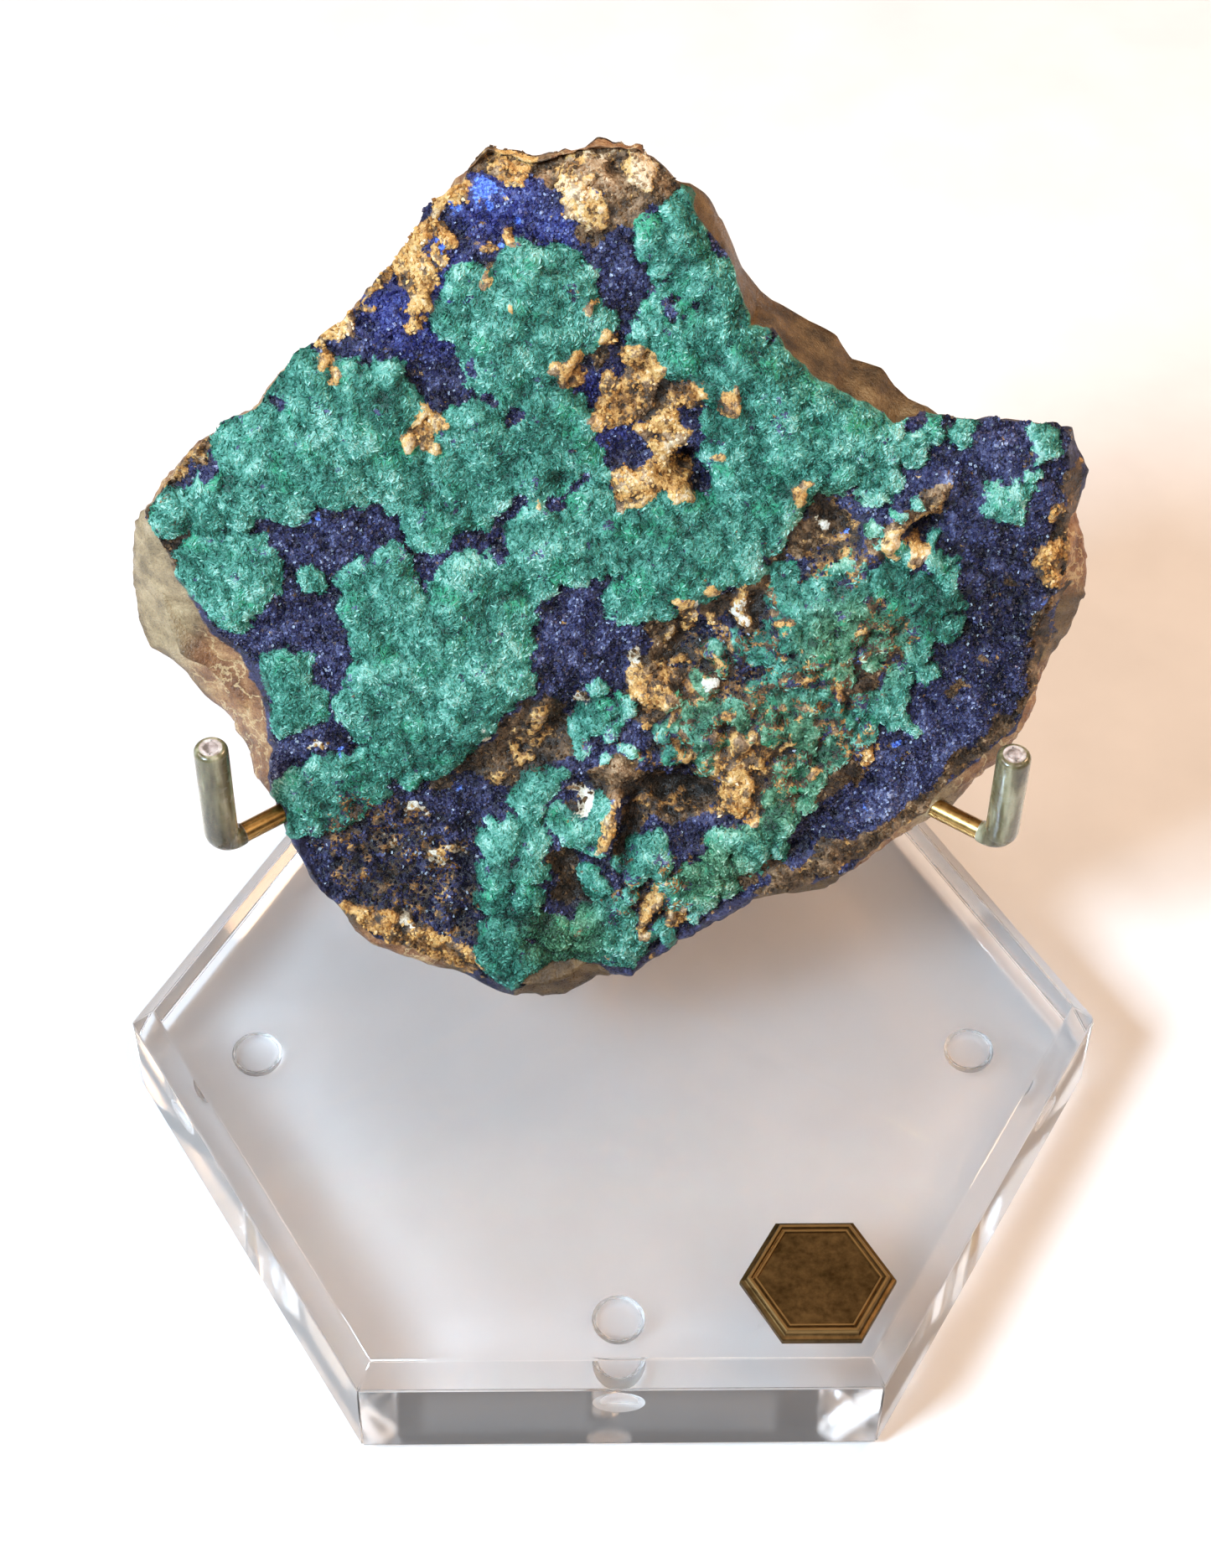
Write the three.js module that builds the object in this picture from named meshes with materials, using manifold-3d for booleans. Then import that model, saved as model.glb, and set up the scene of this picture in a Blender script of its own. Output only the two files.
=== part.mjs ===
// Azurite and malachite specimen on its display stand.
// Millimetres, +Z up. The origin is on the table, under the middle of the six-sided base.
// The specimen leans back on two hooked brass arms and a padded prong; the front is towards -Y.
import * as THREE from 'three';
import { mergeVertices } from 'three/addons/utils/BufferGeometryUtils.js';
import Module from 'manifold-3d';

const wasm = await Module();
wasm.setup();

// Stand sizes
const gap = 0.3;
const footRadius = 4;
const footHeight = 2;
const footFrontY = -49;
const footBackY = 41;
const footReachX = 57;
const baseVertexRadius = 76.2;
const baseThickness = 19.05;
const bevel = 3.2;
const baseTop = footHeight + baseThickness;
const badgeFlat = 10;
const badgePlace = [29.1, -50.6];
const rodRadius = 1.5;
const sleeveBore = 1.85;
const sleeveRadius = 2.5;
const postRadius = 2.5;
const socketDepth = 10;
const standMiddleX = -0.8;
const postY = 41;
const armZ = 61;
const hookReachX = 57.5;
const hookY = 1;
const hookTopZ = { left: 82.4, right: 80.4 };
const hookBendRadius = 3.4;
const hubRadius = 5.5;
const hubHeight = 9;

// Specimen: the face plane leans back, and its own x and y run across and up that plane
const lean = THREE.MathUtils.degToRad(25);
const facePlane = new THREE.Vector3(0, 25.5, 107);
const faceSteps = 44;
const faceSpan = 95;
const rimDrop = 1.2;
const rimWidth = 4;
const backTaper = 0.93;
const bodyThickness = 20;
const restPlace = [standMiddleX, 0];
const restHalfLength = 9;
const prongBendRadius = 12;

// The face's outline, as four edges that meet at the top, left, right and bottom corners
const topToLeft = [
  [2.5, 49.8], [0, 50.6], [-3.5, 50.4], [-5, 49.6], [-10, 49], [-12, 48.4], [-15, 49.2], [-18, 49.8],
  [-20, 48.3], [-22, 45.8], [-26, 43], [-27.5, 40.3], [-31, 35], [-35, 30], [-40, 25.3], [-45, 22],
  [-48, 17.7], [-51, 14], [-55, 12], [-60, 7.5], [-63, 3.5], [-66, 0.5], [-67.3, -2], [-66.5, -4],
];
const leftToBottom = [
  [-66.5, -4], [-64.5, -8.5], [-62, -12.5], [-60.2, -16], [-58.5, -19.5], [-55, -22.5], [-52, -25],
  [-50.4, -28], [-50.6, -31], [-50.8, -34], [-50, -38], [-51, -43], [-50.3, -47.5], [-48.5, -52.5],
  [-46.5, -54], [-45, -59], [-43, -63], [-40, -66], [-36.5, -70], [-30, -72], [-26.5, -74.3],
  [-21.5, -74.3], [-20, -77], [-15.5, -78],
];
const topToRight = [
  [2.5, 49.8], [5.5, 47], [8.5, 44.4], [10.5, 40.5], [13.5, 36.5], [16, 32.5], [17, 28.5], [18, 25.3],
  [20.5, 25], [24, 20.5], [25.5, 18.6], [30, 16], [35, 13.6], [38.5, 10.8], [41, 12], [46, 12],
  [49.5, 12.2], [55, 11.8], [61.5, 11.2], [63.6, 9.5], [63.4, 7.5], [63.8, 3], [63.4, -1], [63.8, -5],
  [64.5, -9], [63.5, -14], [61.5, -19], [60, -24.5], [60.5, -28], [60.5, -30.5],
];
const rightToBottom = [
  [60.5, -30.5], [58.5, -35], [56.5, -37.5], [53, -40.5], [49.5, -43.8], [46.8, -46.8], [44, -50.3],
  [41, -52], [38.5, -55], [35.5, -58], [31.5, -60], [26.5, -61.3], [24.5, -61], [21, -63],
  [16.5, -64], [13.5, -67], [9, -70], [7, -71], [4.5, -73], [2.5, -75.8], [0.5, -75], [-4, -73.5],
  [-8, -73.5], [-12, -76.5], [-15.5, -78],
];

// The widest line of the rock behind the face: x, y and how far behind the face plane it lies
const girdle = [
  [2.6, 49.7, 4], [-3.4, 49.5, 4], [-12, 48, 4], [-18, 49, 4], [-22, 45.4, 4], [-26.1, 40, 5],
  [-31.2, 32.8, 5], [-39.4, 23.5, 5], [-45.4, 18.8, 5], [-51.8, 11.7, 5], [-60.6, 6.6, 5],
  [-65.2, 1.3, 5], [-69.6, -5.5, 7], [-71.2, -11.8, 9], [-71.6, -16.6, 11], [-70.6, -21.6, 12],
  [-69, -26, 11], [-65.2, -28.2, 10], [-63.3, -30.4, 10], [-60.7, -34.2, 10], [-57, -37.3, 9],
  [-55.7, -42, 8], [-53.4, -46.2, 6], [-50.9, -49.8, 4], [-48.3, -54.9, 3], [-45.3, -61, 3],
  [-40.2, -68, 3], [-36.7, -72, 3], [-30, -74.1, 3], [-26, -76.4, 3], [-20.6, -78.8, 3],
  [-15.6, -81.3, 4], [-11, -81.7, 4], [-6.5, -80.1, 4], [-2.9, -77.4, 4], [2.6, -77.6, 3],
  [9, -71.8, 3], [13.7, -68.8, 3], [21.2, -64.7, 3], [31.8, -61.8, 3], [38.8, -56.7, 3],
  [43.4, -53.4, 3.5], [47.6, -51.7, 4.5], [51, -49.7, 5], [53, -46.8, 5], [55.8, -43.7, 5],
  [58.6, -39.2, 4], [62, -32.7, 4], [62.5, -29.7, 4], [64.2, -26.5, 5], [66, -21, 5],
  [67, -15.9, 5], [67.5, -9.8, 5], [67.2, -6.3, 5], [66, -2.4, 4], [67.2, 2.7, 4], [66, 5.7, 4],
  [64.4, 9.7, 4], [55.6, 10.6, 4], [48.6, 10.8, 4], [44.6, 11.6, 5], [41.3, 12.9, 6],
  [40, 14.5, 7], [37.2, 17.2, 8], [33, 18.4, 9], [30.9, 21.4, 10], [24.8, 24.9, 10],
  [20.1, 27.8, 10], [17.4, 31.3, 10], [14.2, 38.5, 8], [9.7, 44, 5], [5.6, 47.1, 4],
];
const girdleMiddle = [0, -12];

// Flat facets of the broken back: slope across, slope up the face, and depth over the face's middle
const facets = [
  [0.02, -0.3, 26.5], [-0.12, -0.5, 32], [0.3, -0.16, 27.5], [0.34, 0.2, 31.5], [0.1, 0.3, 27],
  [-0.03, 0.5, 36], [-0.16, 0.16, 24.5], [-0.3, 0.02, 29], [-0.42, -0.1, 38], [0.55, 0.05, 44],
];

// Raised malachite lobes on the face: x, y and radius
const lobes = [
  [-44, 17, 5], [-37, 17, 5], [-50, 11, 5.5], [-43, 11, 6.5], [-36, 11, 6.5], [-54, 8, 4],
  [-48, 5, 6], [-40, 5, 6.5], [-33, 6, 6], [-57, 3, 3.5], [-53, 1, 4.5], [-47, 0.5, 3.5],
  [-30, 2, 5], [-25, 3, 5], [-27, -3, 4.5], [-55, -11, 6.8], [-58, -8, 4.5], [-56, -16, 4],
  [-37, -11, 3.8], [-33, -11, 4.5], [-37, -16, 4], [-32, -16, 5], [-36, -20, 3.5], [-30, -21, 4],
  [-48, -26, 4.5], [-46.5, -30.5, 4.5], [-48, -34, 3], [-33, -27, 7], [-37, -31, 4.5],
  [-27, -22, 6.5], [-22, -27, 7], [-30, -34, 6], [-24, -33, 5.5], [-18, -22, 6.5], [-16, -27, 4.5],
  [-17, -17, 5.5], [-22, -14, 6], [-33, -38, 4.5], [-27, -40, 4.5], [-46, -46, 4.5],
  [-42, -43, 4], [-47, -50, 3.5], [-42, -48.5, 4], [-38, -45, 3.5], [-21, 31, 4], [-22, 27, 4],
  [-14, 33, 5], [-8, 32, 5], [-16, 28, 6], [-9, 26, 6.5], [-3, 26, 3], [-17, 21, 6], [-11, 20, 5],
  [-10, 14, 5.5], [-20, 11, 4.5], [-11, 8, 6], [-6, 6, 4], [-19, 3, 5], [-13, 4, 5],
  [-22, -1, 4], [-10, -2, 5], [-5, 0, 5], [-12, -7, 5.5], [-6, -8, 5], [-17, -11, 4.5],
  [5, 38, 3.5], [9, 38, 4], [11, 33, 4.5], [13.5, 29, 3.5], [7, 27, 4.5], [12, 25, 5.5],
  [17, 22, 4.5], [8, 21, 4], [21, 20, 4.5], [22, 14, 6], [28, 13, 4], [16, 8, 4], [23, 8, 5],
  [29, 10, 5.5], [34, 9, 5], [38, 8, 3], [31, 5, 4], [18, 2, 5], [22, -1, 4.5], [17, -4, 5.5],
  [11, -5, 5.5], [17, -9, 4.5], [5, -4, 5.5], [0, -3, 4], [4, -10, 5], [9, -11, 5], [2, -15, 4],
  [7, -15.5, 3.5], [61, 8.5, 2.4], [55, 0, 3.6], [25, -16, 3.6], [29, -14, 3], [29, -19, 3],
  [34, -16, 4], [38, -12, 3.5], [39, -17, 3.5], [43, -14, 3.5], [47, -15, 3], [44, -19, 3.5],
  [33, -21, 3], [28, -23, 3], [25, -26, 3], [40, -32, 3.5], [22, -30, 3], [27, -31, 3],
  [17, -32, 3], [12, -33, 3], [27, -35, 3], [32, -34, 3], [12, -37, 3], [24, -50, 3],
  [20, -52, 3.5], [16, -52, 3], [-11, -45, 3], [-13, -48, 3], [-5, -51.5, 3], [-12, -53, 3],
  [-17, -52, 3], [-18, -58, 3.5], [-13, -58, 3], [-14, -63, 3], [-17, -68, 4.5], [-19, -72, 3.5],
  [-14, -72, 4], [-5, -71, 3], [-4, -66, 3.5], [0, -65, 3.5], [-1, -70, 4], [2, -72.5, 3],
  [5, -55, 3], [9, -61.5, 3.5], [13, -60, 3.5], [14.5, 31, 3.4], [17.5, 26, 3.6], [22.5, 20, 3.4],
  [27, 16.5, 3.4], [33, 13, 3.4], [38, 10, 3], [9.5, 41, 3], [-62, 0, 3], [-64, -3, 2.5],
];

// Broad swellings and hollows of the face: x, y, radius and height
const swells = [
  [-34, -56, 15, -2.4], [52, -22, 16, -1.6], [-60, -8, 10, -0.8], [1, 15, 7, -1.1],
  [9.3, 5.8, 2.8, -4.6], [11.8, 2.4, 1.8, -2.6], [2, 3, 3.4, 1.7], [8.2, 2.6, 2.4, 1.7],
  [7.5, -45, 5, -3.6], [12.5, -46, 3.6, -2.8], [-7.5, -57, 3.2, -2.6], [-6, -62, 3.2, -2.6],
  [-11, -32.5, 3.6, 1.6], [-16.5, -42, 2.8, 1.5], [-0.5, 47.2, 1.4, -2], [-16, 28, 11, 1],
  [-40, 8, 13, 1.4], [-25, -26, 13, 1.5], [20, 15, 11, 1.2], [8, -8, 9, 1], [29, -17, 11, 1.1],
  [-15, -58, 6, 1.8], [-16, -71, 6, 2.2], [-1, -68, 6, 1.6], [19, -53, 7, 1.8], [5, -57, 4, 1.2],
  [30, -1, 3.4, -1.7], [44, -3.5, 2.6, -1.8], [18, -42, 5, 1],
];

// Long ridges and grooves of the face: both ends, width and height
const ridges = [
  [-22, -45, -8, -33, 4.5, -2], [-7, -31, 9, -22, 4.5, -1.8], [9, -22, 24, -11, 4, -1.6],
  [24, -10, 32, -4, 3.5, -1.2], [34.5, -7.5, 46, 3, 2.4, 2], [40, -6.5, 48, -12, 2, 1.1],
  [-6, -41, 6, -41.5, 2, 1.4], [-0.6, -45.5, -1.8, -54, 1.3, 1.7], [2.2, -47, 1, -56, 1.8, -1.9],
  [6, -48.5, 13, -49.5, 1.6, 1.2], [-4, -43, -9, -49.5, 2, -1.2], [26, -49, 36, -39, 2.4, 1.2],
  [27, -54, 38, -43, 2.4, -1.1], [18, -60, 27, -54, 2.2, -1], [-22, -50, -23, -66, 2.5, -1.6],
];

// Random but repeatable lumps, from a lattice of values smoothed between its points
function latticeValue(i, j, k) {
  let bits = Math.imul(i, 374761393) ^ Math.imul(j, 668265263) ^ Math.imul(k, 1274126177);
  bits = Math.imul(bits ^ (bits >>> 13), 1103515245);
  bits ^= bits >>> 16;
  return (bits >>> 0) / 2147483648 - 1;
}

function lumps(x, y, z) {
  const i = Math.floor(x);
  const j = Math.floor(y);
  const k = Math.floor(z);
  const ease = (f) => f * f * (3 - 2 * f);
  const u = ease(x - i);
  const v = ease(y - j);
  const w = ease(z - k);
  const mix = THREE.MathUtils.lerp;
  const row = (b, c) => mix(latticeValue(i, b, c), latticeValue(i + 1, b, c), u);
  return mix(mix(row(j, k), row(j + 1, k), v), mix(row(j, k + 1), row(j + 1, k + 1), v), w);
}

// Height of the malachite crust: each lobe is a low dome with a steep rim, warped to look grown
function crust(x, y) {
  const wx = x + 1.2 * lumps(x / 4.5, y / 4.5, 11) + 0.5 * lumps(x / 2, y / 2, 13);
  const wy = y + 1.2 * lumps(x / 4.5, y / 4.5, 12) + 0.5 * lumps(x / 2, y / 2, 14);
  let height = 0;
  for (const [lobeX, lobeY, radius] of lobes) {
    const far = Math.hypot(wx - lobeX, wy - lobeY) / radius;
    if (far < 1) {
      height = Math.max(height, (0.55 + 0.15 * radius) * (1 - far ** 3));
    }
  }
  return height;
}

function distanceToSegment(x, y, [ax, ay, bx, by]) {
  const along = ((x - ax) * (bx - ax) + (y - ay) * (by - ay)) / ((bx - ax) ** 2 + (by - ay) ** 2);
  const t = THREE.MathUtils.clamp(along, 0, 1);
  return Math.hypot(x - ax - t * (bx - ax), y - ay - t * (by - ay));
}

// Height of the face over its plane
function relief(x, y) {
  let height = crust(x, y);
  for (const [swellX, swellY, radius, rise] of swells) {
    height += rise * Math.exp(-((x - swellX) ** 2 + (y - swellY) ** 2) / (0.8 * radius * radius));
  }
  for (const ridge of ridges) {
    const far = distanceToSegment(x, y, ridge) / ridge[4];
    height += ridge[5] * Math.exp(-far * far);
  }
  height += 0.9 * lumps(x / 14, y / 14, 3) + 0.5 * lumps(x / 4, y / 4, 4);
  const brow = THREE.MathUtils.smoothstep(y, 44, 51);
  return height - 3 * brow;
}

// Where an arm runs at a place across the stand
function armY(x) {
  const share = 1 - Math.abs(x - standMiddleX) / hookReachX;
  return hookY + share * (postY - hookY);
}

// The broken back is cut by flat facets, each with its slopes and its depth over the face's middle
function thickness(x, y) {
  let depth = bodyThickness;
  for (const [slopeX, slopeY, middleDepth] of facets) {
    depth = Math.min(depth, middleDepth + slopeX * x + slopeY * y);
  }
  const fromRest = Math.hypot(x - restPlace[0], y - restPlace[1]);
  const rough = THREE.MathUtils.smoothstep(fromRest, 8, 18);
  depth += rough * (1.5 * lumps(x / 15, y / 15, 7) + 0.8 * lumps(x / 6, y / 6, 8));
  const faceY = facePlane.y + y * Math.sin(lean);
  const faceZ = facePlane.z + y * Math.cos(lean);
  const aboveArms = (faceZ - armZ - rodRadius - gap) / Math.sin(lean);
  const beforeArms = (armY(x) - rodRadius - gap - faceY) / Math.cos(lean);
  return Math.min(depth, Math.max(aboveArms, beforeArms, 3.5));
}

// Points evenly spaced along an outline
function spaced(outline, steps) {
  const lengths = [0];
  for (let i = 1; i < outline.length; i += 1) {
    const stride = Math.hypot(outline[i][0] - outline[i - 1][0], outline[i][1] - outline[i - 1][1]);
    lengths.push(lengths[i - 1] + stride);
  }
  const points = [];
  for (let step = 0; step <= steps; step += 1) {
    const target = (lengths[outline.length - 1] * step) / steps;
    let i = 1;
    while (i < outline.length - 1 && lengths[i] < target) {
      i += 1;
    }
    const share = (target - lengths[i - 1]) / (lengths[i] - lengths[i - 1]);
    points.push(outline[i].map((value, axis) => THREE.MathUtils.lerp(outline[i - 1][axis], value, share)));
  }
  return points;
}

// The girdle point on the ray from the middle through a face edge point
function onGirdle([x, y]) {
  const [middleX, middleY] = girdleMiddle;
  const dx = x - middleX;
  const dy = y - middleY;
  for (let i = 0; i < girdle.length; i += 1) {
    const [ax, ay, ad] = girdle[i];
    const [bx, by, bd] = girdle[(i + 1) % girdle.length];
    const cross = dx * (by - ay) - dy * (bx - ax);
    const far = ((ax - middleX) * (by - ay) - (ay - middleY) * (bx - ax)) / cross;
    const along = ((ax - middleX) * dy - (ay - middleY) * dx) / cross;
    if (far > 0 && along >= 0 && along <= 1) {
      return [middleX + far * dx, middleY + far * dy, THREE.MathUtils.lerp(ad, bd, along)];
    }
  }
  throw new Error('a face edge point misses the girdle');
}

// A grid stretched between four edges that share their corners
function stretched(edges, steps) {
  const [topLeft, topRight, leftBottom, rightBottom] = edges;
  const grid = [];
  for (let a = 0; a <= steps; a += 1) {
    const s = a / steps;
    const row = [];
    for (let b = 0; b <= steps; b += 1) {
      const t = b / steps;
      row.push([0, 1].map((axis) => {
        const across = (1 - t) * topLeft[a][axis] + t * rightBottom[a][axis];
        const down = (1 - s) * topRight[b][axis] + s * leftBottom[b][axis];
        const top = (1 - t) * topLeft[0][axis] + t * rightBottom[0][axis];
        const bottom = (1 - t) * topLeft[steps][axis] + t * rightBottom[steps][axis];
        return across + down - (1 - s) * top - s * bottom;
      }));
    }
    grid.push(row);
  }
  return grid;
}

// The rim of a grid as one loop of [row, column] pairs
function rimOf(steps) {
  const rim = [];
  for (let i = 0; i < 4 * steps; i += 1) {
    const side = Math.floor(i / steps);
    const along = i % steps;
    rim.push([[along, 0], [steps, along], [steps - along, steps], [0, steps - along]][side]);
  }
  return rim;
}

function specimenGeometry() {
  const positions = [];
  const triangles = [];
  const add = (x, y, z) => positions.push(x, y, z) / 3 - 1;
  const quad = (a, b, c, d) => triangles.push(a, b, c, a, c, d);
  const band = (upper, lower) => {
    for (let i = 0; i < upper.length; i += 1) {
      const next = (i + 1) % upper.length;
      quad(upper[i], lower[i], lower[next], upper[next]);
    }
  };
  const halvingBand = (upper, lower) => {
    for (let i = 0; i < lower.length; i += 1) {
      const next = (i + 1) % lower.length;
      const [first, second, third] = [2 * i, 2 * i + 1, (2 * i + 2) % upper.length];
      triangles.push(upper[first], lower[i], upper[second]);
      triangles.push(upper[second], lower[i], lower[next]);
      triangles.push(upper[second], lower[next], upper[third]);
    }
  };

  // Face: relief over the stretched grid, rolled back at its rim
  const edges = [topToLeft, topToRight, leftToBottom, rightToBottom];
  const faceGrid = stretched(edges.map((edge) => spaced(edge, faceSteps)), faceSteps);
  const face = faceGrid.map((row, a) => row.map(([x, y], b) => {
    const inset = (Math.min(a, b, faceSteps - a, faceSteps - b) / faceSteps) * faceSpan;
    return add(x, y, relief(x, y) - rimDrop * (1 - THREE.MathUtils.smoothstep(inset, 0, rimWidth)));
  }));
  for (let a = 0; a < faceSteps; a += 1) {
    for (let b = 0; b < faceSteps; b += 1) {
      quad(face[a][b], face[a + 1][b], face[a + 1][b + 1], face[a][b + 1]);
    }
  }

  // Flank: from the face's rim out to the girdle, then in to the rim of the back
  const rim = rimOf(faceSteps);
  const rough = (x, y, z) => 0.7 * lumps(x / 5, y / 5, z / 5);
  const rimPoints = rim.map(([a, b]) => faceGrid[a][b]);
  const girdlePoints = rimPoints.map(onGirdle);
  const backEdge = ([x, y, depth]) => {
    const backX = x * backTaper;
    const backY = girdleMiddle[1] + (y - girdleMiddle[1]) * backTaper;
    return [backX, backY, Math.max(depth + 1, 0.68 * thickness(backX, backY))];
  };
  const backPoints = girdlePoints.map(backEdge);
  const ring = (points, every) => points.filter((point, i) => i % every === 0)
    .map(([x, y, depth]) => add(x + rough(x, y, depth), y + rough(y, depth, x), -depth));
  const faceRim = rim.map(([a, b]) => face[a][b]);
  const between = rimPoints.map(([x, y], i) => {
    const [outX, outY, depth] = girdlePoints[i];
    return [0.45 * x + 0.55 * outX, 0.45 * y + 0.55 * outY, depth * 0.5 + 0.4];
  });
  const middleRing = ring(between, 1);
  const girdleRing = ring(girdlePoints, 1);
  const rounding = girdlePoints.map(([x, y, depth], i) => {
    const [backX, backY, backDepth] = backPoints[i];
    return [0.6 * x + 0.4 * backX, 0.6 * y + 0.4 * backY, 0.45 * depth + 0.55 * backDepth];
  });
  const roundingRing = ring(rounding, 2);
  band(faceRim, middleRing);
  band(middleRing, girdleRing);
  halvingBand(girdleRing, roundingRing);

  // Back: a coarser grid between the back's rim points, as deep as the rock is thick
  const backSteps = faceSteps / 2;
  const backRim = rimOf(backSteps);
  const backIndex = (a, b) => backRim.findIndex(([p, q]) => p === a && q === b);
  const backCorner = (a, b) => backPoints[2 * backIndex(a, b)];
  const run = (place) => Array.from({ length: backSteps + 1 }, (unused, i) => backCorner(...place(i)));
  const backEdges = [
    run((i) => [i, 0]),
    run((i) => [0, i]),
    run((i) => [backSteps, i]),
    run((i) => [i, backSteps]),
  ];
  const backGrid = stretched(backEdges, backSteps);
  const back = backGrid.map((row, a) => row.map(([x, y], b) => {
    const inset = (Math.min(a, b, backSteps - a, backSteps - b) / backSteps) * faceSpan;
    if (inset === 0) {
      return add(x, y, -backCorner(a, b)[2]);
    }
    return add(x, y, -thickness(x, y) * (0.8 + 0.2 * THREE.MathUtils.smoothstep(inset, 0, 12)));
  }));
  band(roundingRing, backRim.map(([a, b]) => back[a][b]));
  for (let a = 0; a < backSteps; a += 1) {
    for (let b = 0; b < backSteps; b += 1) {
      quad(back[a][b], back[a][b + 1], back[a + 1][b + 1], back[a + 1][b]);
    }
  }

  const geometry = new THREE.BufferGeometry();
  geometry.setAttribute('position', new THREE.Float32BufferAttribute(positions, 3));
  geometry.setIndex(triangles);
  return geometry;
}

// A plain closed geometry, with only its positions left and shared corners merged
function merged(geometry) {
  geometry.deleteAttribute('normal');
  geometry.deleteAttribute('uv');
  return mergeVertices(geometry, 1e-5);
}

function toManifold(geometry) {
  const plain = merged(geometry);
  const vertProperties = new Float32Array(plain.attributes.position.array);
  const triVerts = new Uint32Array(plain.index.array);
  return new wasm.Manifold(new wasm.Mesh({ numProp: 3, vertProperties, triVerts }));
}

function fromManifold(solid) {
  const mesh = solid.getMesh();
  const geometry = new THREE.BufferGeometry();
  geometry.setAttribute('position', new THREE.BufferAttribute(new Float32Array(mesh.vertProperties), 3));
  geometry.setIndex(new THREE.BufferAttribute(new Uint32Array(mesh.triVerts), 1));
  return geometry;
}

// A curve through given stations, so that a swept section has one ring at each
class StationCurve extends THREE.Curve {
  constructor(stations) {
    super();
    this.stations = stations;
  }

  getPoint(t) {
    const place = t * (this.stations.length - 1);
    const i = Math.min(Math.floor(place), this.stations.length - 2);
    return this.stations[i].clone().lerp(this.stations[i + 1], place - i);
  }

  getUtoTmapping(u) {
    return u;
  }
}

function swept(stations, radius, boreRadius) {
  const section = new THREE.Shape().absarc(0, 0, radius, 0, 2 * Math.PI);
  if (boreRadius) {
    section.holes.push(new THREE.Path().absarc(0, 0, boreRadius, 0, 2 * Math.PI));
  }
  return new THREE.ExtrudeGeometry(section, {
    steps: stations.length - 1,
    curveSegments: 6,
    extrudePath: new StationCurve(stations),
    bevelEnabled: false,
  });
}

// Stations of a rod that runs from start, rounds its corner and goes on to end
function bent(start, corner, end, bendRadius, turns) {
  const back = start.clone().sub(corner).normalize();
  const on = end.clone().sub(corner).normalize();
  const half = back.angleTo(on) / 2;
  const reach = bendRadius / Math.tan(half);
  const middle = back.clone().add(on).setLength(bendRadius / Math.sin(half)).add(corner);
  const first = corner.clone().addScaledVector(back, reach).sub(middle);
  const last = corner.clone().addScaledVector(on, reach).sub(middle);
  const axis = first.clone().cross(last).normalize();
  const sweep = first.angleTo(last);
  const stations = [start];
  for (let i = 0; i <= turns; i += 1) {
    stations.push(first.clone().applyAxisAngle(axis, (sweep * i) / turns).add(middle));
  }
  stations.push(end);
  return stations;
}

// A round or six-sided turned piece, from a half section of [radius, height] points
function turned(profile, sides) {
  const points = profile.map(([radius, height]) => new THREE.Vector2(radius, height));
  return new THREE.LatheGeometry(points, sides).rotateX(Math.PI / 2).rotateZ(Math.PI / 2);
}

// The specimen's own frame: x across the face, y up it and z out of it
const specimenFrame = new THREE.Group();
specimenFrame.position.copy(facePlane);
specimenFrame.rotation.x = Math.PI / 2 - lean;
specimenFrame.updateMatrixWorld();
const behindFace = (x, y, depth) => specimenFrame.localToWorld(new THREE.Vector3(x, y, -depth));

// Routes of the brass rods
function armStations(side) {
  const corner = new THREE.Vector3(standMiddleX + side * hookReachX, hookY, armZ);
  const middle = new THREE.Vector3(standMiddleX, postY, armZ);
  const start = middle.clone().add(corner.clone().sub(middle).setLength(hubRadius + gap));
  const tip = corner.clone().setZ(side < 0 ? hookTopZ.left : hookTopZ.right);
  return bent(start, corner, tip, hookBendRadius, 5);
}

const [restX, restY] = restPlace;
const restDepth = bodyThickness + sleeveRadius + 2 * gap;
const padTop = behindFace(restX, restY + restHalfLength, restDepth);
const padLow = behindFace(restX, restY - restHalfLength, restDepth);
const prongStart = new THREE.Vector3(standMiddleX, postY, armZ + hubHeight / 2 + gap);
const cornerShare = (postY - padLow.y) / (padTop.y - padLow.y);
const prongCorner = padLow.clone().lerp(padTop, cornerShare);
const prongStations = bent(prongStart, prongCorner, padTop, prongBendRadius, 3);

// Materials
const paint = (color, roughness, metalness, extra = {}) => (
  new THREE.MeshStandardMaterial({ color, roughness, metalness, ...extra })
);
const mineral = paint(0x3c8a72, 0.9, 0);
const acrylic = paint(0xe4e8ec, 0.05, 0, { transparent: true, opacity: 0.35 });
const brass = paint(0xb08a4a, 0.35, 1);
const agedBrass = paint(0x5c482a, 0.5, 1);
const vinyl = paint(0x77735e, 0.35, 0);
const silicone = paint(0xeeeae2, 0.4, 0);

const specimenStand = new THREE.Group();

function place(name, geometry, material, parent = specimenStand) {
  const mesh = new THREE.Mesh(merged(geometry), material);
  mesh.name = name;
  parent.add(mesh);
  return mesh;
}

// Specimen, with room for the arms that it sits on
function specimen() {
  const toRock = specimenFrame.matrixWorld.clone().invert();
  let rock = toManifold(specimenGeometry());
  for (const side of [-1, 1]) {
    const room = swept(armStations(side), rodRadius + gap).applyMatrix4(toRock);
    rock = rock.subtract(toManifold(room));
  }
  place('specimen', fromManifold(rock), mineral, specimenFrame);
  specimenStand.add(specimenFrame);
}

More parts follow.
